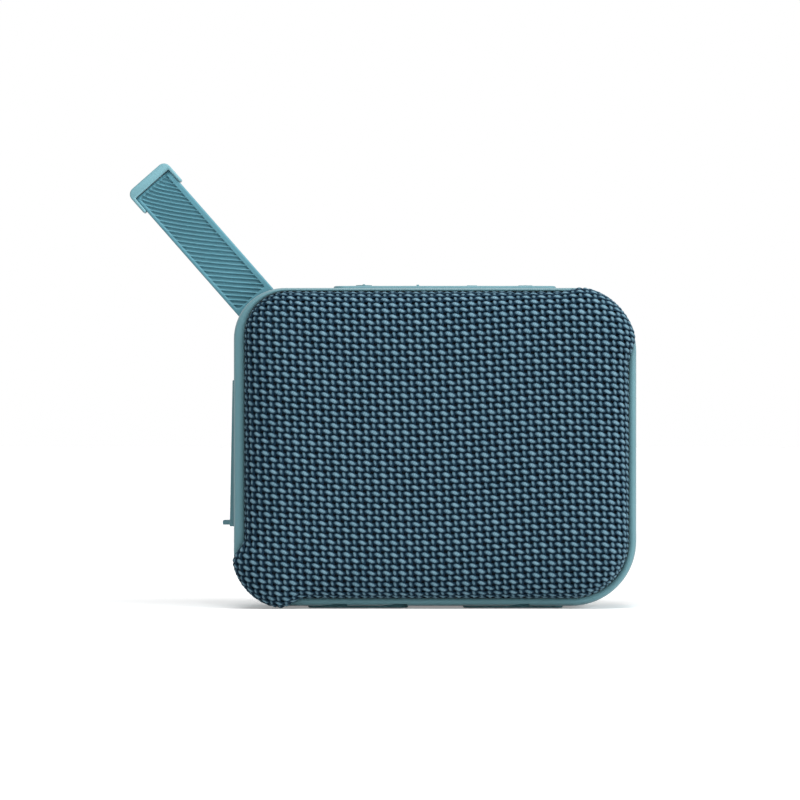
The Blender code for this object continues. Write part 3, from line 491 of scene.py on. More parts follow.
# The record's slots by name, and then what else the pieces need.
materials = {
    "teal_silicone": silicone("teal_silicone_skin", (88, 131, 140)),
    # A dark navy sheet under the threads: painted shade that shows between them.
    "teal_fabric": pressed_fibre("navy_painted_shade_sheet", (12, 36, 52)),
    "black_plastic": plastic("black_moulded_plastic", (30, 32, 35)),
    "bright_steel": metal("bright_steel", (196, 198, 200), 0.28),
    "plated_steel": metal("zinc_plate", (150, 152, 146), 0.36),
    "ferrite": pressed_fibre("ferrite_ceramic", (48, 48, 50), 900, 0.02),
    "paper_cone": pressed_fibre("pressed_paper", (36, 36, 38)),
    "black_rubber": plastic("black_butyl_rubber", (24, 24, 26), 0.6, 500),
    "spider_cloth": pressed_fibre("resin_cloth", (196, 142, 62), 1200, 0.08),
    "copper": metal("enamelled_copper", (188, 108, 64), 0.3, 1500),
    "circuit_board": circuit("green_solder_mask", (28, 92, 62)),
    "battery_wrap": plastic("blue_shrink_film", (54, 94, 164), 0.35, 300),
    "foam": pressed_fibre("closed_cell_foam", (60, 60, 64), 1100, 0.1),
    "red_wire": plastic("red_wire_jacket", (176, 36, 32), 0.45, 600),
    "flex_film": plastic("polyimide_film", (206, 128, 48), 0.3, 400),
    # relief paints highlights on the strap's ridges and shade in its grooves.
    "strap": silicone("teal_silicone_strap", (72, 127, 141), relief=True),
    # Painted light: a lighter copy of the teal silicone, as the feet sit in shade under the body.
    "feet": silicone("teal_silicone_feet_painted_light", (106, 164, 176)),
    # Painted light: a lighter copy of the teal silicone, where the clip catches more light.
    "clip": silicone("teal_silicone_clip_painted_light", (104, 150, 160)),
    "weft": yarn("weft_yarn", middle=0.1, narrow=1.7, lean=-0.15, tilt=-0.3, low=-0.45, high=1.0),
    "warp": yarn("warp_yarn", middle=-0.35, narrow=1.2, lean=0.4, tilt=0.0, low=-0.2, high=1.4),
}


def finish_cad_nodes():
    """Gives every carried-over CAD node the procedural material of its slot."""
    for node, slot_name in SLOTS.items():
        obj, material = frame["nodes"][node], materials[slot_name]
        if not obj.material_slots:
            obj.data.materials.append(material)
        for slot in obj.material_slots:
            slot.material = material


# ---- rubber sleeve
ARC_STEPS = 20
LEADS = np.array((9.0, 7.5, 6.0, 4.5, 3.0, 1.5))  # stations on the straight beside each corner
STATION_TURNS = np.pad(np.linspace(0, 1, ARC_STEPS + 1), len(LEADS), "edge")  # share of the arc
STATION_LEADS = np.concatenate([-LEADS, np.zeros(ARC_STEPS + 1), LEADS[::-1]])
SMALLEST_RADIUS = 1.5
WRAP_CENTRE = 6.0  # the wrap is measured round a point this far inside the corner arc's centre
# Degrees at which the lip ducks, the cloth slides out and the edge runs back, and how many
# degrees each takes.
WRAP_STEPS = ((10.0, 14.0), (7.0, 19.0), (24.0, 20.0))


def wrap_shares(u, v, corner):
    """How far the cloth's wrap round a corner has gone: lip ducked, cloth slid out, edge back.

    u and v are the distances from the two sides of the cloth's outline.
    """
    reach = corner + WRAP_CENTRE
    turn = np.degrees(np.arctan2(np.maximum(reach - v, 0.0), np.maximum(reach - u, 1e-6)))
    turn = np.minimum(turn, 90 - turn)
    return [smooth_step((turn - first) / growth) for first, growth in WRAP_STEPS]


def corner_loop(number, inset_x, inset_z):
    """Points of one corner of a rounded rectangle inside the body outline."""
    sign_x, sign_z = SIGNS[number]
    rounding = np.maximum(RADII[number] - (inset_x + inset_z) / 2, SMALLEST_RADIUS)
    turn = np.radians(90 * (number + STATION_TURNS))
    centre_x = sign_x * (BODY_WIDTH / 2 - inset_x - rounding)
    centre_z = BODY_HEIGHT / 2 + sign_z * (BODY_HEIGHT / 2 - inset_z - rounding)
    x = centre_x + rounding * np.cos(turn) - STATION_LEADS * np.sin(turn)
    z = centre_z + rounding * np.sin(turn) + STATION_LEADS * np.cos(turn)
    return x, z


def body_ring(inset, y, ducked=None, slid=None, back=0.0):
    """A loop at a depth inside the body outline: the CAD's rule, with finer corners.

    At the two wrapped corners the lip first ducks to its (inset, y) in ducked, then the cloth
    slides out to its (inset, y) in slid, and last both run back by up to back.
    """
    inset = np.broadcast_to(np.asarray(inset, float), 4)
    points = []
    for number, signs in enumerate(SIGNS):
        inset_x, inset_z = beside_corner(inset, signs)
        rim_x, rim_z = beside_corner(RIM, signs)
        x, z = corner_loop(number, rim_x, rim_z)
        u = BODY_WIDTH / 2 - rim_x - signs[0] * x
        v = BODY_HEIGHT / 2 - rim_z - signs[1] * (z - BODY_HEIGHT / 2)
        shares = wrap_shares(u, v, RADII[number] - (rim_x + rim_z) / 2)
        duck_share, slide_share, back_share = (share * WRAPPED[number] for share in shares)
        depth = np.full(len(x), float(y))
        for target, share in ((ducked, duck_share), (slid, slide_share)):
            if target:
                inset_x = mix(inset_x, target[0], share)
                inset_z = mix(inset_z, target[0], share)
                depth = mix(depth, target[1], share)
        x, z = corner_loop(number, inset_x, inset_z)
        points.append(np.stack([x, depth + back * back_share, z], axis=1))
    return np.concatenate(points)


def sleeve_rings():
    """The sleeve's profile: the closed inside, the lip round the fabric, the side and the back."""
    lip = RIM - GAP
    inside = [
        body_ring(8.0, BACK_Y - 2.0),
        body_ring(4.5, BACK_Y - 3.5),
        body_ring(WALL, 12.0),
        body_ring(WALL, -11.5, back=12.6),
        body_ring(lip, -12.3, ducked=(1.6, -12.6), back=WRAP_BACK),
    ]
    front_lip = [  # inset, y, and where it ducks to at a wrapped corner
        (lip, -13.0, (1.4, -12.75)),
        (lip - 0.05, -13.6, (1.3, -12.9)),
        (lip * 0.8, -14.1, (1.0, -12.98)),
        (lip * 0.45, -14.25, (0.7, -12.98)),
        (0.35, -13.7, (0.3, -12.9)),
        (0.08, -12.4, (0.05, -12.3)),
    ]
    front = [body_ring(inset, y, ducked, back=WRAP_BACK) for inset, y, ducked in front_lip]
    front.append(body_ring(0.0, -9.5, back=10.9))
    rounding = ((0.0, 12.0), (0.25, 14.4), (0.9, 16.6), (2.6, 19.1), (5.6, 20.6), (9.0, BACK_Y))
    back = [body_ring(inset, y) for inset, y in rounding]
    return np.concatenate([inside, spline(front, 3), spline(back, 3)])


KEY_BODIES = {
    "button_power": "power_key",
    "button_volume_down": "volume_down_key",
    "button_play": "play_key",
    "button_volume_up": "volume_up_key",
}
FEET = ("foot_left", "foot_right")
KEY_PANEL_MARGIN = np.array((4.15, 4.4))  # added to the length and width of the row of keys
KEY_PANEL_RADIUS = 3.0
OPENING_RADIUS = 2.3
RAMPS = ((-29.7, -22.0), (-14.2, -7.0), (17.6, 23.5))  # start and end of each, in X
RAMP_FRONT, RAMP_BACK = -14.0, -8.6
FLAP_INNER_X = -49.35
FLAP_FOOT_Z = 19.6
PORT_LOW, PORT_HIGH = (-56.0, 2.1, 21.9), (-46.0, 10.9, 52.6)  # the opening under the flap
NOTCH = ((-9.0, 8.0), 8.5, 7.3)  # for the strap: along it, half depth and half across

STRAP_LEAN, STRAP_RISE = 0.660, 0.751
STRAP_ALONG = np.array((-STRAP_LEAN, 0.0, STRAP_RISE)) / math.hypot(STRAP_LEAN, STRAP_RISE)
STRAP_ACROSS = np.array((STRAP_RISE, 0.0, STRAP_LEAN)) / math.hypot(STRAP_LEAN, STRAP_RISE)
PIN_DEPTH = 3.9  # from the pin's centre to the strap's corner point on the body outline
STRAP_CORNER = np.mean(node_box("strap_pin"), axis=0) + STRAP_ALONG * PIN_DEPTH


def strap_points(along, depth, across):
    """Places given from the strap's corner point: outwards, backwards and along the pin."""
    along, depth, across = (np.asarray(v, float)[..., None] for v in (along, depth, across))
    return STRAP_CORNER + along * STRAP_ALONG + depth * np.array((0, 1, 0)) + across * STRAP_ACROSS


def make_strap_block(name, along, half_depth, half_across):
    """A block in the strap's own directions, as a tool for cuts."""
    places = product(along, (-half_depth, half_depth), (-half_across, half_across))
    corners = [strap_points(*place) for place in places]
    return make_object(name, corners, BLOCK_FACES, smooth=False)


def make_ramp_cut(start, end):
    """A recess in the body's lower front edge that deepens to the right."""
    slope = [(start, 0.02), (end - 1.0, 0.8), (end - 0.2, 0.85), (end, 0.6)]
    profile = [(start, -0.3), *slope, (end, -0.3)]
    rings = [[(x, y, z) for x, z in profile] for y in (RAMP_FRONT, RAMP_BACK)]
    return make_loft("ramp_cut", rings, smooth=False)


def opening_for(name):
    """The outline of the opening that a key or a foot sits in."""
    low, high = node_box(name)
    return rounded_rectangle((low + high)[:2] / 2, (high - low)[:2] + 2 * GAP, OPENING_RADIUS)


def make_key_panel():
    """The raised panel that the four keys sit in, as a part of the sleeve."""
    low, high = node_box("button_power")[0][:2], node_box("button_volume_up")[1][:2]
    size, levels = high - low + KEY_PANEL_MARGIN, (BODY_HEIGHT - 1.2, PANEL_TOP)
    return make_pad("panel", (low + high) / 2, size, KEY_PANEL_RADIUS, *levels, 0.45)


def make_sleeve():
    """The rubber sleeve with its key panel, and the openings for everything that it holds."""
    sleeve = make_loft("sleeve_skin", sleeve_rings())
    combine(sleeve, [make_key_panel()], "UNION")

    levels = {name: (BODY_HEIGHT - 4.0, PANEL_TOP + 2) for name in KEY_BODIES}
    levels.update({name: (-2.0, node_box(name)[1][2] + GAP) for name in FEET})
    tools = [make_prism(name + "_opening", opening_for(name), *levels[name]) for name in levels]
    tools += [make_ramp_cut(start, end) for start, end in RAMPS]
    combine(sleeve, tools, "DIFFERENCE")

    low, high = node_box("port_flap")
    recess_low = (-60.0, low[1] - GAP, FLAP_FOOT_Z - GAP)
    recess_high = (FLAP_INNER_X + 0.1, high[1] + GAP, high[2] + GAP)
    recess = make_block("flap_recess", recess_low, recess_high)
    port = make_block("port_opening", PORT_LOW, PORT_HIGH)
    notch = make_strap_block("strap_notch", *NOTCH)
    for tool in (recess, port, notch):
        combine(sleeve, [tool], "DIFFERENCE")
    soften(sleeve, 0.3)
    even_shading(sleeve)
    hand_over(sleeve, "cabinet", "rubber_sleeve")


def make_feet():
    """Two pads with a rounded lower edge, each sunk in its pocket."""
    for name in FEET:
        low, high = node_box(name)
        middle, size = (low + high) / 2, high - low
        # The pad is made upside down and turned over.
        levels = (-high[2], -low[2])
        pad = make_pad(name + "_pad", middle[:2], size[:2], 2.0, *levels, 0.35, finish="feet")
        for vert in pad.data.vertices:
            vert.co.z = -vert.co.z
        pad.data.flip_normals()
        hand_over(pad, "cabinet", name)


# ---- woven front
SNUG = 0.3  # the cloth is drawn this much wider, so that its threads touch the lip
CROWN_REACH = 22.0  # how far in from its edge the cloth still curves
CROWN_DEPTH = SEAM_Y - CROWN_Y
CROWN_POWER = 3.5
INNER_RADIUS = 10.0  # corner radius of the crown's contours, once they are clear of the corner
WRAP_PROUD = (0.2, 0.0, 0.5, 0.0)  # how far the cloth stands outside the outline at each corner
FABRIC_LOW = np.array((-BODY_WIDTH / 2 + RIM[0], RIM[2])) - SNUG
FABRIC_HIGH = np.array((BODY_WIDTH / 2 - RIM[1], BODY_HEIGHT - RIM[3])) + SNUG


def crown_height(inset):
    """How far the cloth stands forward of its seam, at an inset from its edge."""
    share = np.clip(inset / CROWN_REACH, 0.0, 1.0)
    return CROWN_DEPTH * (1 - (1 - share) ** CROWN_POWER) ** (1 / CROWN_POWER)


CROWN_INSETS = CROWN_REACH * np.linspace(0, 1, 4001) ** 3
CROWN_LENGTHS = np.concatenate(
    [[0.0], np.cumsum(np.hypot(np.diff(CROWN_INSETS), np.diff(crown_height(CROWN_INSETS))))]
)
CROWN_SLOPES = np.gradient(crown_height(CROWN_INSETS), CROWN_INSETS)


def nearest_edge(x, z):
    """Distance inside the cloth's outline, the direction out to it, and the corner's wrap.

    The wrap is how far the cloth slides out over the sleeve and how far it runs back.
    """
    distance, out_x, out_z, slid, skirt = np.zeros((5, *x.shape))
    middle = (FABRIC_LOW + FABRIC_HIGH) / 2
    for signs, radius, wraps, proud in zip(SIGNS, RADII, WRAPPED, WRAP_PROUD):
        sign_x, sign_z = signs
        mine = (np.sign(x - middle[0] + 1e-9) == sign_x) & (np.sign(z - middle[1] + 1e-9) == sign_z)
        rim_x, rim_z = beside_corner(RIM, signs)
        corner = radius - (rim_x + rim_z) / 2 + SNUG
        u = FABRIC_HIGH[0] - x if sign_x > 0 else x - FABRIC_LOW[0]
        v = FABRIC_HIGH[1] - z if sign_z > 0 else z - FABRIC_LOW[1]
        on_arc = np.hypot(corner - u, corner - v)
        inside_arc = ((u + v) + np.sqrt(np.maximum(2 * INNER_RADIUS**2 - (u - v) ** 2, 0))) / 2
        outer = (u < corner) & (v < corner) & (corner - on_arc < corner - INNER_RADIUS)
        inner = ~outer & (np.abs(u - v) < INNER_RADIUS) & (inside_arc > np.maximum(u, v))
        away = np.where(outer, corner, inside_arc)
        length = np.maximum(np.hypot(away - u, away - v), 1e-9)
        found = np.where(inner, inside_arc - INNER_RADIUS, np.minimum(u, v))
        found = np.where(outer, corner - on_arc, found)
        toward_x = np.where(outer | inner, (away - u) / length, (u <= v) * 1.0)
        toward_z = np.where(outer | inner, (away - v) / length, (u > v) * 1.0)
        beyond = np.minimum(found, 0.0)
        _, slide_share, back_share = wrap_shares(u - beyond * toward_x, v - beyond * toward_z, corner)
        distance[mine] = found[mine]
        out_x[mine] = (sign_x * toward_x)[mine]
        out_z[mine] = (sign_z * toward_z)[mine]
        if wraps:
            edge = np.abs(toward_x) * rim_x + np.abs(toward_z) * rim_z
            edge = edge / (np.abs(toward_x) + np.abs(toward_z))
            slid[mine] = (slide_share * (edge - SNUG + proud))[mine]
            skirt[mine] = (back_share * WRAP_BACK)[mine]
    return distance, out_x, out_z, slid, skirt


def drape(x, z, height):
    """Lays points of the flat cloth on the crowned front.

    Returns the places and how far each lies from the cloth's edge, negative beyond it. Lengths
    from the flat middle outwards are kept. At a wrapped corner the cloth slides out over the
    sleeve and runs straight back.
    """
    distance, out_x, out_z, slid, skirt = nearest_edge(x, z)
    length = distance + slid + skirt + CROWN_LENGTHS[-1] - CROWN_REACH
    past_seam = np.maximum(skirt - length, 0.0)
    inset = np.interp(length - skirt, CROWN_LENGTHS, CROWN_INSETS)
    inset = np.where(length - skirt > CROWN_LENGTHS[-1], distance + slid, inset)
    slope = np.interp(inset, CROWN_INSETS, CROWN_SLOPES)
    slope = np.where(inset > CROWN_REACH, 0.0, slope)
    norm = np.hypot(slope, 1.0)
    shift = distance + slid - inset
    forward = -SEAM_Y + crown_height(inset) - past_seam
    place_x = x + out_x * (shift + height * slope / norm)
    place_z = z + out_z * (shift + height * slope / norm)
    place_y = -forward - height / norm
    return np.stack([place_x, place_y, place_z], axis=-1), length


# Rows of threads count down the front, and columns to the right.
ROWS = np.arange(-37, 39)
COLUMNS = np.arange(-36, 37)
ROW_PITCH = 1.52
COLUMN_PITCH = 1.95
ROW_SPAN = 35.0
COLUMN_SPAN = 45.0
ROW_START_Z = 40.3
COLUMN_START_X = 0.62
ROW_SAG = (0.7, 1.2, -0.77, -0.61)  # the rows' course in pitches, by power of the place across
COLUMN_LEAN = 0.64  # pitches from the middle to the lower edge
STATIONS = 4  # rings on a thread from one crossing to the next
CENTRE_DEPTH = 0.55  # the threads' middle plane, under the cloth's outer face
THREAD_WIDTHS = np.random.default_rng(7).uniform(0.92, 1.08, (len(ROWS), len(COLUMNS)))

# A thread is swell wider on top of the cloth and taper wider in the first half of its float. It
# swings up and down through the middle plane, and slants sideways along each float.
WEFT = dict(half_width=0.6, half_height=0.4, swell=0.1, taper=0.05, swing=0.24, slant=0.17)
WARP = dict(half_width=0.52, half_height=0.38, swell=0.06, taper=0.0, swing=0.26, slant=0.1)


def row_z(row, x):
    """Height of a weft thread: the threads sag a little left of the middle."""
    share = np.clip(x / COLUMN_SPAN, -1.35, 1.35)
    sag = sum(part * share**power for power, part in enumerate(ROW_SAG, 1))
    return ROW_START_Z - (row - sag) * ROW_PITCH


def column_x(column, z):
    """Place of a warp thread: the threads lean by about two degrees."""
    return COLUMN_START_X + (column + COLUMN_LEAN * (ROW_START_Z - z) / ROW_SPAN) * COLUMN_PITCH


def crossing(row, column):
    """Where a weft and a warp thread cross, found by a few rounds of substitution."""
    x = column * COLUMN_PITCH
    for _ in range(4):
        z = row_z(row, x)
        x = column_x(column, z)
    return x, row_z(row, x)


def local_width(row, column):
    """A random change of thread width from float to float."""
    rows = np.clip(np.round(row).astype(int) - ROWS[0], 0, len(ROWS) - 1)
    columns = np.clip(np.round(column).astype(int) - COLUMNS[0], 0, len(COLUMNS) - 1)
    return THREAD_WIDTHS[rows, columns]


def thread_offsets(phase, width, sides, half_width, half_height, swell, taper, swing, slant):
    """How far the points round a thread lie beside its course and above the cloth's face."""
    over, along = np.cos(np.pi * phase)[:, None], np.sin(np.pi * phase)[:, None]
    turn = np.linspace(0, 2 * np.pi, sides, endpoint=False)
    half_width = (half_width + swell * over - taper * along) * width[:, None]
    aside = half_width * np.cos(turn) - slant * along
    return aside, swing * over - CENTRE_DEPTH + half_height * np.sin(turn)


def weft_rings(row, sides):
    """Rings of one weft thread in flat cloth coordinates: x, z, height and its float phase.

    It floats over a warp thread as a leaf: rounder at its left end, and slanting down.
    """
    column = np.arange(COLUMNS[0], COLUMNS[-1], 1 / STATIONS)
    x, z = crossing(row, column)
    phase = column - row
    aside, height = thread_offsets(phase, local_width(row, column), sides, **WEFT)
    return np.repeat(x[:, None], sides, axis=1), z[:, None] + aside, height, phase


def warp_rings(column, sides):
    """Rings of one warp thread, as for the weft."""
    row = np.arange(ROWS[0], ROWS[-1], 1 / STATIONS)
    x, z = crossing(row, column)
    phase = column - row + 1.0
    aside, height = thread_offsets(phase, local_width(row, column), sides, **WARP)
    return x[:, None] + aside, np.repeat(z[:, None], sides, axis=1), height, phase


def runs_inside(lengths, margin):
    """The start and end of every stretch of a thread that lies on the cloth."""
    inside = lengths > margin
    edges = np.flatnonzero(np.diff(np.concatenate([[0], inside.astype(int), [0]])))
    return [(a, b) for a, b in zip(edges[::2], edges[1::2]) if b - a > 3]


def make_threads(name, numbers, rings_of, sides, finish):
    """One mesh of every thread in one direction, with UVs that run along and round it."""
    verts, faces, uvs = [], [], []
    for number in numbers:
        ring_x, ring_z, height, phase = rings_of(number, sides)
        places, lengths = drape(ring_x, ring_z, height)
        for first, last in runs_inside(lengths.min(axis=1), 0.05):
            faces.extend(loft_faces(last - first, sides, start=len(verts) * sides))
            verts.extend(places[first:last])
            along = phase[first:last]
            for here, there in zip(along[:-1], along[1:]):
                for j in range(sides):
                    low_v, high_v = j / sides, (j + 1) / sides
                    uvs += [(here, low_v), (here, high_v), (there, high_v), (there, low_v)]
            for end in (along[0], along[-1]):
                uvs += [(end, j / sides) for j in range(sides)]
    mesh = bpy.data.meshes.new(name)
    mesh.from_pydata((np.concatenate(verts) * MM).tolist(), [], faces)
    layer = mesh.uv_layers.new(name="UVMap")
    layer.data.foreach_set("uv", np.asarray(uvs, np.float32).ravel())
    mesh.shade_smooth()
    hand_over(place_mesh(name, mesh, materials[finish]), "cabinet", "fabric_cover")


def backing_ring(inset, depth):
    """A loop of the dark shell of painted shade, a depth under the cloth's outer face."""
    slope = np.interp(inset, CROWN_INSETS, CROWN_SLOPES) * (inset < CROWN_REACH)
    norm = math.hypot(slope, 1.0)
    y = SEAM_Y - crown_height(inset) + depth / norm
    under = inset + depth * slope / norm
    return body_ring(RIM - SNUG + under, y, slid=(under, y))


def backing_skirt(depth):
    """The dark shell's own edge, which runs back round the wrapped corners."""
    return body_ring(RIM - SNUG + depth, SEAM_Y + 0.1, slid=(depth, SEAM_Y), back=WRAP_BACK - 0.4)


BACKING_OUTER, BACKING_INNER = 1.2, 1.5  # depths of its two faces under the cloth's outer face


def make_backing():
    """Painted shade between the threads: a dark navy closed shell of the same shape under them."""
    insets = CROWN_REACH * np.linspace(1, 0, 16) ** 2
    outer = [backing_ring(inset, BACKING_OUTER) for inset in insets] + [backing_skirt(BACKING_OUTER)]
    inner = [backing_ring(inset, BACKING_INNER) for inset in insets] + [backing_skirt(BACKING_INNER)]
    backing = make_loft("painted_shade_sheet", outer + inner[::-1], "teal_fabric")
    hand_over(backing, "cabinet", "fabric_cover")


# ---- keys and flap
CAP_TOP = PANEL_TOP + 0.1
CAP_FOOT = BODY_HEIGHT - 1.5
CAP_DOME = 0.06
CAP_RADIUS = 2.0
CAP_EDGE = 0.4
STEM_SIZE = (4.6, 4.6)
STEM_RADIUS = 2.2
STROKE = 0.33  # half the width of a sign's strokes
REACH = 1.8  # half the length of the bar and of the plus's arms
SIGN_SINK = 0.3
RING_RADIUS = 1.7
RING_SIDES = 40


def make_ring(name, centre, low, high):
    """The ring of the power sign: a band with a rounded top."""
    profile = [(-STROKE, low), (-STROKE, high - 0.08), (-STROKE * 0.6, high)]
    profile += [(-r, z) for r, z in profile[::-1]]
    rings = []
    for turn in np.linspace(0, 2 * np.pi, RING_SIDES, endpoint=False):
        across = np.array((math.cos(turn), math.sin(turn)))
        rings.append([(*(centre + across * (RING_RADIUS + r)), z) for r, z in profile])
    return make_loft(name, rings, closed_path=True)


def plus_outline():
    """The twelve corners of a plus round its middle."""
    outline = []
    for sign_x, sign_y in SIGNS:
        quarter = [(STROKE, REACH), (STROKE, STROKE), (REACH, STROKE)]
        quarter = quarter if sign_x * sign_y < 0 else quarter[::-1]
        outline += [(sign_x * u, sign_y * v) for u, v in quarter]
    return outline


SIGN_OUTLINES = {
    "button_play": [(-1.2, -1.5), (1.5, 0.0), (-1.2, 1.5)],
    "button_volume_down": [(sign_x * STROKE, sign_y * REACH) for sign_x, sign_y in SIGNS],
    "button_volume_up": plus_outline(),
}


def key_sign(name, centre, low, high):
    """The generic raised sign of a key: power, a bar, play or plus."""
    x, y = centre
    if name == "button_power":
        stroke_low = (x - STROKE, y - 2.3, low)
        stroke = make_block("stroke", stroke_low, (x + STROKE, y + 0.2, high + 0.1))
        soften(stroke, 0.1)
        return [make_ring("ring", centre, low, high - 0.1), stroke]
    outline = [(x + u, y + v) for u, v in SIGN_OUTLINES[name]]
    sign = make_prism("sign", outline, low, high)
    soften(sign, 0.12 if name == "button_play" else 0.1)
    return [sign]


def make_keys():
    """Four soft key caps with rounded edges, each on its own slide."""
    levels = (CAP_FOOT, CAP_TOP - CAP_DOME)
    for name, body in KEY_BODIES.items():
        low, high = node_box(name)
        centre, size = (low + high)[:2] / 2, (high - low)[:2]
        cap = make_pad(name + "_cap", centre, size, CAP_RADIUS, *levels, CAP_EDGE, CAP_DOME)
        outline = rounded_rectangle(centre, STEM_SIZE, STEM_RADIUS)
        stem = make_prism("stem", outline, low[2], CAP_FOOT + 0.1)
        sign = key_sign(name, centre, CAP_TOP - SIGN_SINK, high[2])
        key = join(name + "_piece", [cap, stem] + sign)
        key.data.shade_smooth()
        sharpen(key)
        hand_over(key, body, name)


FLAP_FOOT_X, FLAP_TOP_X = -51.6, -50.9  # the cover's outer face leans inwards
FLAP_OVERLAP = 0.5  # how far the plug and the tab run into the cover
PLUG_LOW, PLUG_HIGH = (2.7, 22.6), (10.3, 52.0)  # in Y and Z
TAB_LOW, TAB_HIGH = (3.0, 20.0), (10.0, 21.1)  # in Y and Z


def make_flap():
    """The port flap: a wedge with soft edges, a pull tab and a plug behind."""
    low, high = node_box("port_flap")
    cover_low, cover_high = (FLAP_FOOT_X, low[1], FLAP_FOOT_Z), (FLAP_INNER_X, high[1], high[2])
    flap = make_block("flap_cover", cover_low, cover_high)
    plug_x, tab_x = FLAP_INNER_X - FLAP_OVERLAP, FLAP_FOOT_X + FLAP_OVERLAP
    for vert in flap.data.vertices:
        if vert.co.x < plug_x * MM and vert.co.z > high[2] * MM / 2:
            vert.co.x = FLAP_TOP_X * MM
    plug = make_block("plug", (plug_x, *PLUG_LOW), (high[0], *PLUG_HIGH))
    tab = make_block("tab", (low[0], *TAB_LOW), (tab_x, *TAB_HIGH))
    combine(flap, [plug, tab], "UNION")
    soften(flap, 0.28)
    even_shading(flap)
    hand_over(flap, "flap", "port_flap")


# ---- carry strap
STRAP_HALF_WIDTH = 5.55
STRAP_LAYER = 1.5  # thickness of the band
STRAP_OUTER = 3.1  # half the depth of the folded band
STRAP_TIP = 38.9  # the band's fold, from the strap's corner point
BAND_STEP = 0.16
BAND_EDGE = 0.4
RIDGE_PITCH = 1.19
RIDGE_DEPTH = 0.5
RIDGE_SLANT, RIDGE_TURN = 0.1, 0.3  # the ridges' slope near the body, and what the tip adds
RIDGE_PANEL = ((0.6, 37.8, 0.3), (-4.8, 4.3, 0.25))  # along and across: first, last and fade
CLIP_TIP = 41.1
CLIP_LENGTH = 6.6
CLIP_RADIUS = 1.9
CLIP_HALF_WIDTH = STRAP_HALF_WIDTH + 0.8
CLIP_HALF_DEPTH = STRAP_OUTER + 0.4


def ridge_cut(along, across, z):
    """How deep the moulded grooves cut into the strap's face.

    The ridges run level near the body and slant more and more towards the strap's tip.
    """
    slant = RIDGE_SLANT + RIDGE_TURN * (np.clip(along, 0, None) / STRAP_TIP) ** 2
    wave = np.cos(2 * np.pi * (z + slant * across) / RIDGE_PITCH)
    cut = RIDGE_DEPTH * (1 - smooth_step((wave - 0.1) / 0.8))
    for place, (first, last, fade) in zip((along, across), RIDGE_PANEL):
        cut = cut * smooth_step((place - first) / fade) * smooth_step((last - place) / fade)
    return cut


def band_path():
    """A closed path along the strap's middle layer: (along, depth, outward direction)."""
    radius = STRAP_OUTER - STRAP_LAYER / 2
    start, end = -PIN_DEPTH, STRAP_TIP - STRAP_OUTER
    straight = np.arange(start, end, BAND_STEP)
    points = [(s, -radius, 0.0, -1.0) for s in straight]
    quarter = np.pi / 4 * (1 - np.cos(np.linspace(0, np.pi, 21)))
    for turn in np.concatenate([quarter - np.pi / 2, quarter[1:-1]]):
        cosine, sine = math.cos(turn), math.sin(turn)
        squared = (math.sqrt(cosine), math.copysign(math.sqrt(abs(sine)), sine))
        points.append((end + radius * squared[0], radius * squared[1], cosine, sine))
    points += [(s, radius, 0.0, 1.0) for s in straight[::-1] + BAND_STEP]
    for turn in np.linspace(-np.pi / 2, np.pi / 2, 22)[:-1]:
        cosine, sine = math.cos(turn), math.sin(turn)
        points.append((start - radius * cosine, -radius * sine, -cosine, -sine))
    return np.array(points)


def band_section():
    """The strap's cross-section: over its outer face, round its edges and back under it."""
    half, layer = STRAP_HALF_WIDTH - BAND_EDGE, STRAP_LAYER / 2 - BAND_EDGE
    points = [(across, STRAP_LAYER / 2) for across in np.arange(-half, half, BAND_STEP)]
    for quarter, (side, face) in enumerate(((1, 1), (1, -1), (-1, -1), (-1, 1))):
        for turn in np.linspace(0, np.pi / 2, 5)[:-1] + quarter * np.pi / 2:
            across = side * half + BAND_EDGE * math.sin(turn)
            points.append((across, face * layer + BAND_EDGE * math.cos(turn)))
        if (side, face) == (1, -1):
            points += [(half, -STRAP_LAYER / 2), (0.0, -STRAP_LAYER / 2)]
    return np.array(points)


def make_strap():
    """The folded band, with grooves in its outer face."""
    path, section = band_path(), band_section()
    across, thick = section.T
    along, depth, out_along, out_depth = (path[:, i, None] for i in range(4))
    z = strap_points(along, depth, across)[..., 2]
    lift = thick - ridge_cut(along, across, z) * (thick > 0.7 * STRAP_LAYER / 2)
    places = strap_points(along + out_along * lift, depth + out_depth * lift, across)
    strap = make_loft("strap_ribbon", places, "strap", closed_path=True)
    sharpen(strap, 60)
    hand_over(strap, "strap", "strap_loop")


def make_clip():
    """A rounded cap over the strap's tip, with an arm down each edge."""
    foot = CLIP_TIP - CLIP_LENGTH
    outline = [(-CLIP_HALF_WIDTH, foot), (CLIP_HALF_WIDTH, foot)]
    for side, first in ((1, 0), (-1, 90)):
        for turn in np.radians(first + np.linspace(0, 90, 9)):
            across = side * (CLIP_HALF_WIDTH - CLIP_RADIUS) + CLIP_RADIUS * math.cos(turn)
            outline.append((across, CLIP_TIP - CLIP_RADIUS + CLIP_RADIUS * math.sin(turn)))
    depths = (-CLIP_HALF_DEPTH, CLIP_HALF_DEPTH)
    rings = [[strap_points(along, depth, across) for across, along in outline] for depth in depths]
    clip = make_loft("strap_tip_clip", rings, "clip", smooth=False)
    pocket_along = (foot - 3, STRAP_TIP - 0.1)
    pocket = make_strap_block("pocket", pocket_along, CLIP_HALF_DEPTH + 2, STRAP_HALF_WIDTH - 0.05)
    combine(clip, [pocket], "DIFFERENCE")
    soften(clip, 0.35, degrees=50)
    hand_over(clip, "strap", "strap_end_clip")


# ---- studio
FLOOR_REACH = 5000.0
FLOOR_TILES = 8
FLOOR_DROP = 0.02  # under the feet
FILL_STRENGTH = 0.4
SUNS = (  # name, direction it comes from, strength and spread in degrees
    ("key_light", (-0.1, -0.5, 1.0), 0.9, 30),
    ("front_light", (0.0, -1.0, 0.06), 0.5, 50),
    ("side_light", (1.0, -0.45, 0.3), 2.2, 40),
)
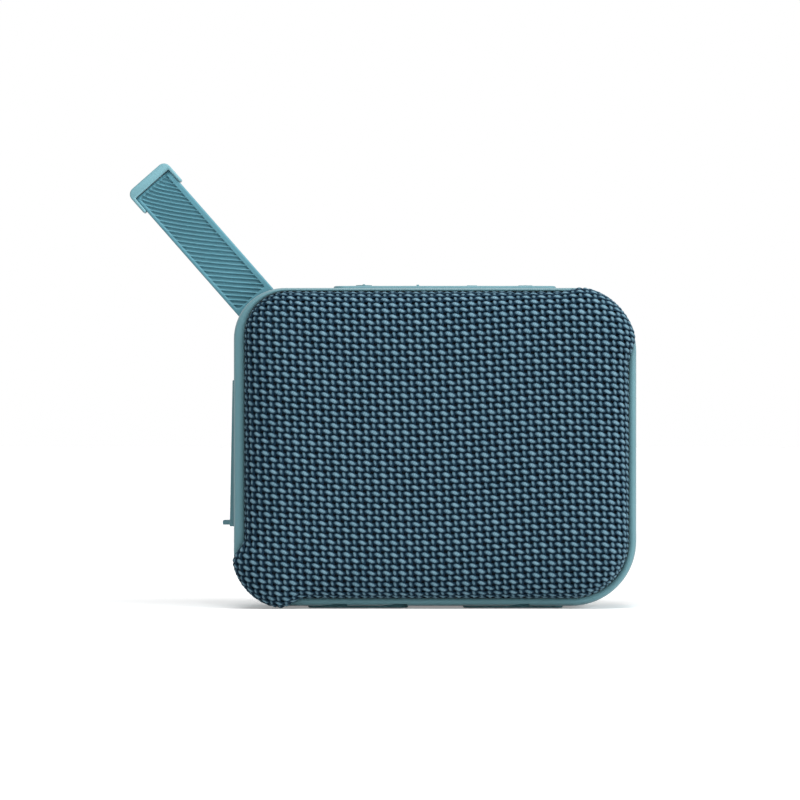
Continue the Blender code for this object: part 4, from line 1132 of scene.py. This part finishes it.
# A soft panel just above the object, whose light fades down its front; in metres and watts.
LAMP_SIZE = 0.15
LAMP_WATTS = 0.32
LAMP_PLACE = (0.03, -0.12, 0.23)
LAMP_TOWARD = (0.03, -0.1, 0.19)
CAMERA_LENS = 268.4
CAMERA_PLACE = (-8.75, -1500.0, 51.4)


def make_floor():
    """A pale floor just under the feet, which the camera sees lighter than it lights."""
    floor_z = node_box("foot_left")[0][2] - FLOOR_DROP
    side = FLOOR_TILES + 1
    steps = np.linspace(-1, 1, side) * FLOOR_REACH
    verts = [(x, y, floor_z) for y in steps for x in steps]
    corners = [i + side * j for j, i in product(range(FLOOR_TILES), repeat=2)]
    faces = [(at, at + 1, at + side + 1, at + side) for at in corners]
    shader = Shader("pale_floor")
    seen = shader.add("ShaderNodeLightPath").outputs["Is Camera Ray"]
    tint = shader.ramp(seen, (0.0, grey(0.85)), (1.0, grey(0.95)))
    glow = shader.between(seen, 0.0, 0.26)
    matt = shader.between(shader.noise(4, 2.0), 0.85, 0.95)
    shader.set({"Base Color": tint, "Roughness": matt, "Specular IOR Level": 0.0})
    shader.set({"Emission Color": grey(1.0), "Emission Strength": glow})
    materials["floor"] = shader.material
    make_object("floor", verts, faces, "floor")


def make_world():
    """An even fill, which the camera sees as white."""
    world = bpy.data.worlds.new("studio")
    bpy.context.scene.world = world
    world.use_nodes = True
    tree = world.node_tree
    background = tree.nodes["Background"]
    path = tree.nodes.new("ShaderNodeLightPath")
    strength = tree.nodes.new("ShaderNodeMapRange")
    strength.inputs["To Min"].default_value = FILL_STRENGTH
    tree.links.new(path.outputs["Is Camera Ray"], strength.inputs["Value"])
    tree.links.new(strength.outputs["Result"], background.inputs["Strength"])
    background.inputs["Color"].default_value = grey(1.0)


def add_light(data, location, toward):
    """Places a light that shines from toward's direction."""
    light = bpy.data.objects.new(data.name, data)
    light.rotation_euler = Vector(toward).to_track_quat("Z", "Y").to_euler()
    light.location = Vector(location)
    light.visible_camera = False
    bpy.context.scene.collection.objects.link(light)


def make_lights():
    """Three wide soft suns and a soft panel."""
    for name, toward, strength, spread in SUNS:
        sun = bpy.data.lights.new(name, "SUN")
        sun.energy = strength
        sun.angle = math.radians(spread)
        add_light(sun, toward, toward)
    panel = bpy.data.lights.new("panel_light", "AREA")
    panel.energy = LAMP_WATTS
    panel.size = LAMP_SIZE
    add_light(panel, LAMP_PLACE, LAMP_TOWARD)


def make_camera():
    """Straight on to the front, from far away."""
    data = bpy.data.cameras.new("camera")
    data.lens = CAMERA_LENS
    data.clip_end = 20.0
    camera = bpy.data.objects.new("camera", data)
    camera.location = Vector(CAMERA_PLACE) * MM
    camera.rotation_euler = (math.radians(90), 0.0, 0.0)
    bpy.context.scene.collection.objects.link(camera)
    bpy.context.scene.camera = camera
    bpy.context.scene.view_settings.view_transform = "Standard"


finish_cad_nodes()
make_sleeve()
make_feet()
make_threads("weft_threads", ROWS, weft_rings, 8, "weft")
make_threads("warp_threads", COLUMNS, warp_rings, 6, "warp")
make_backing()
make_keys()
make_flap()
make_strap()
make_clip()
make_floor()
make_world()
make_lights()
make_camera()
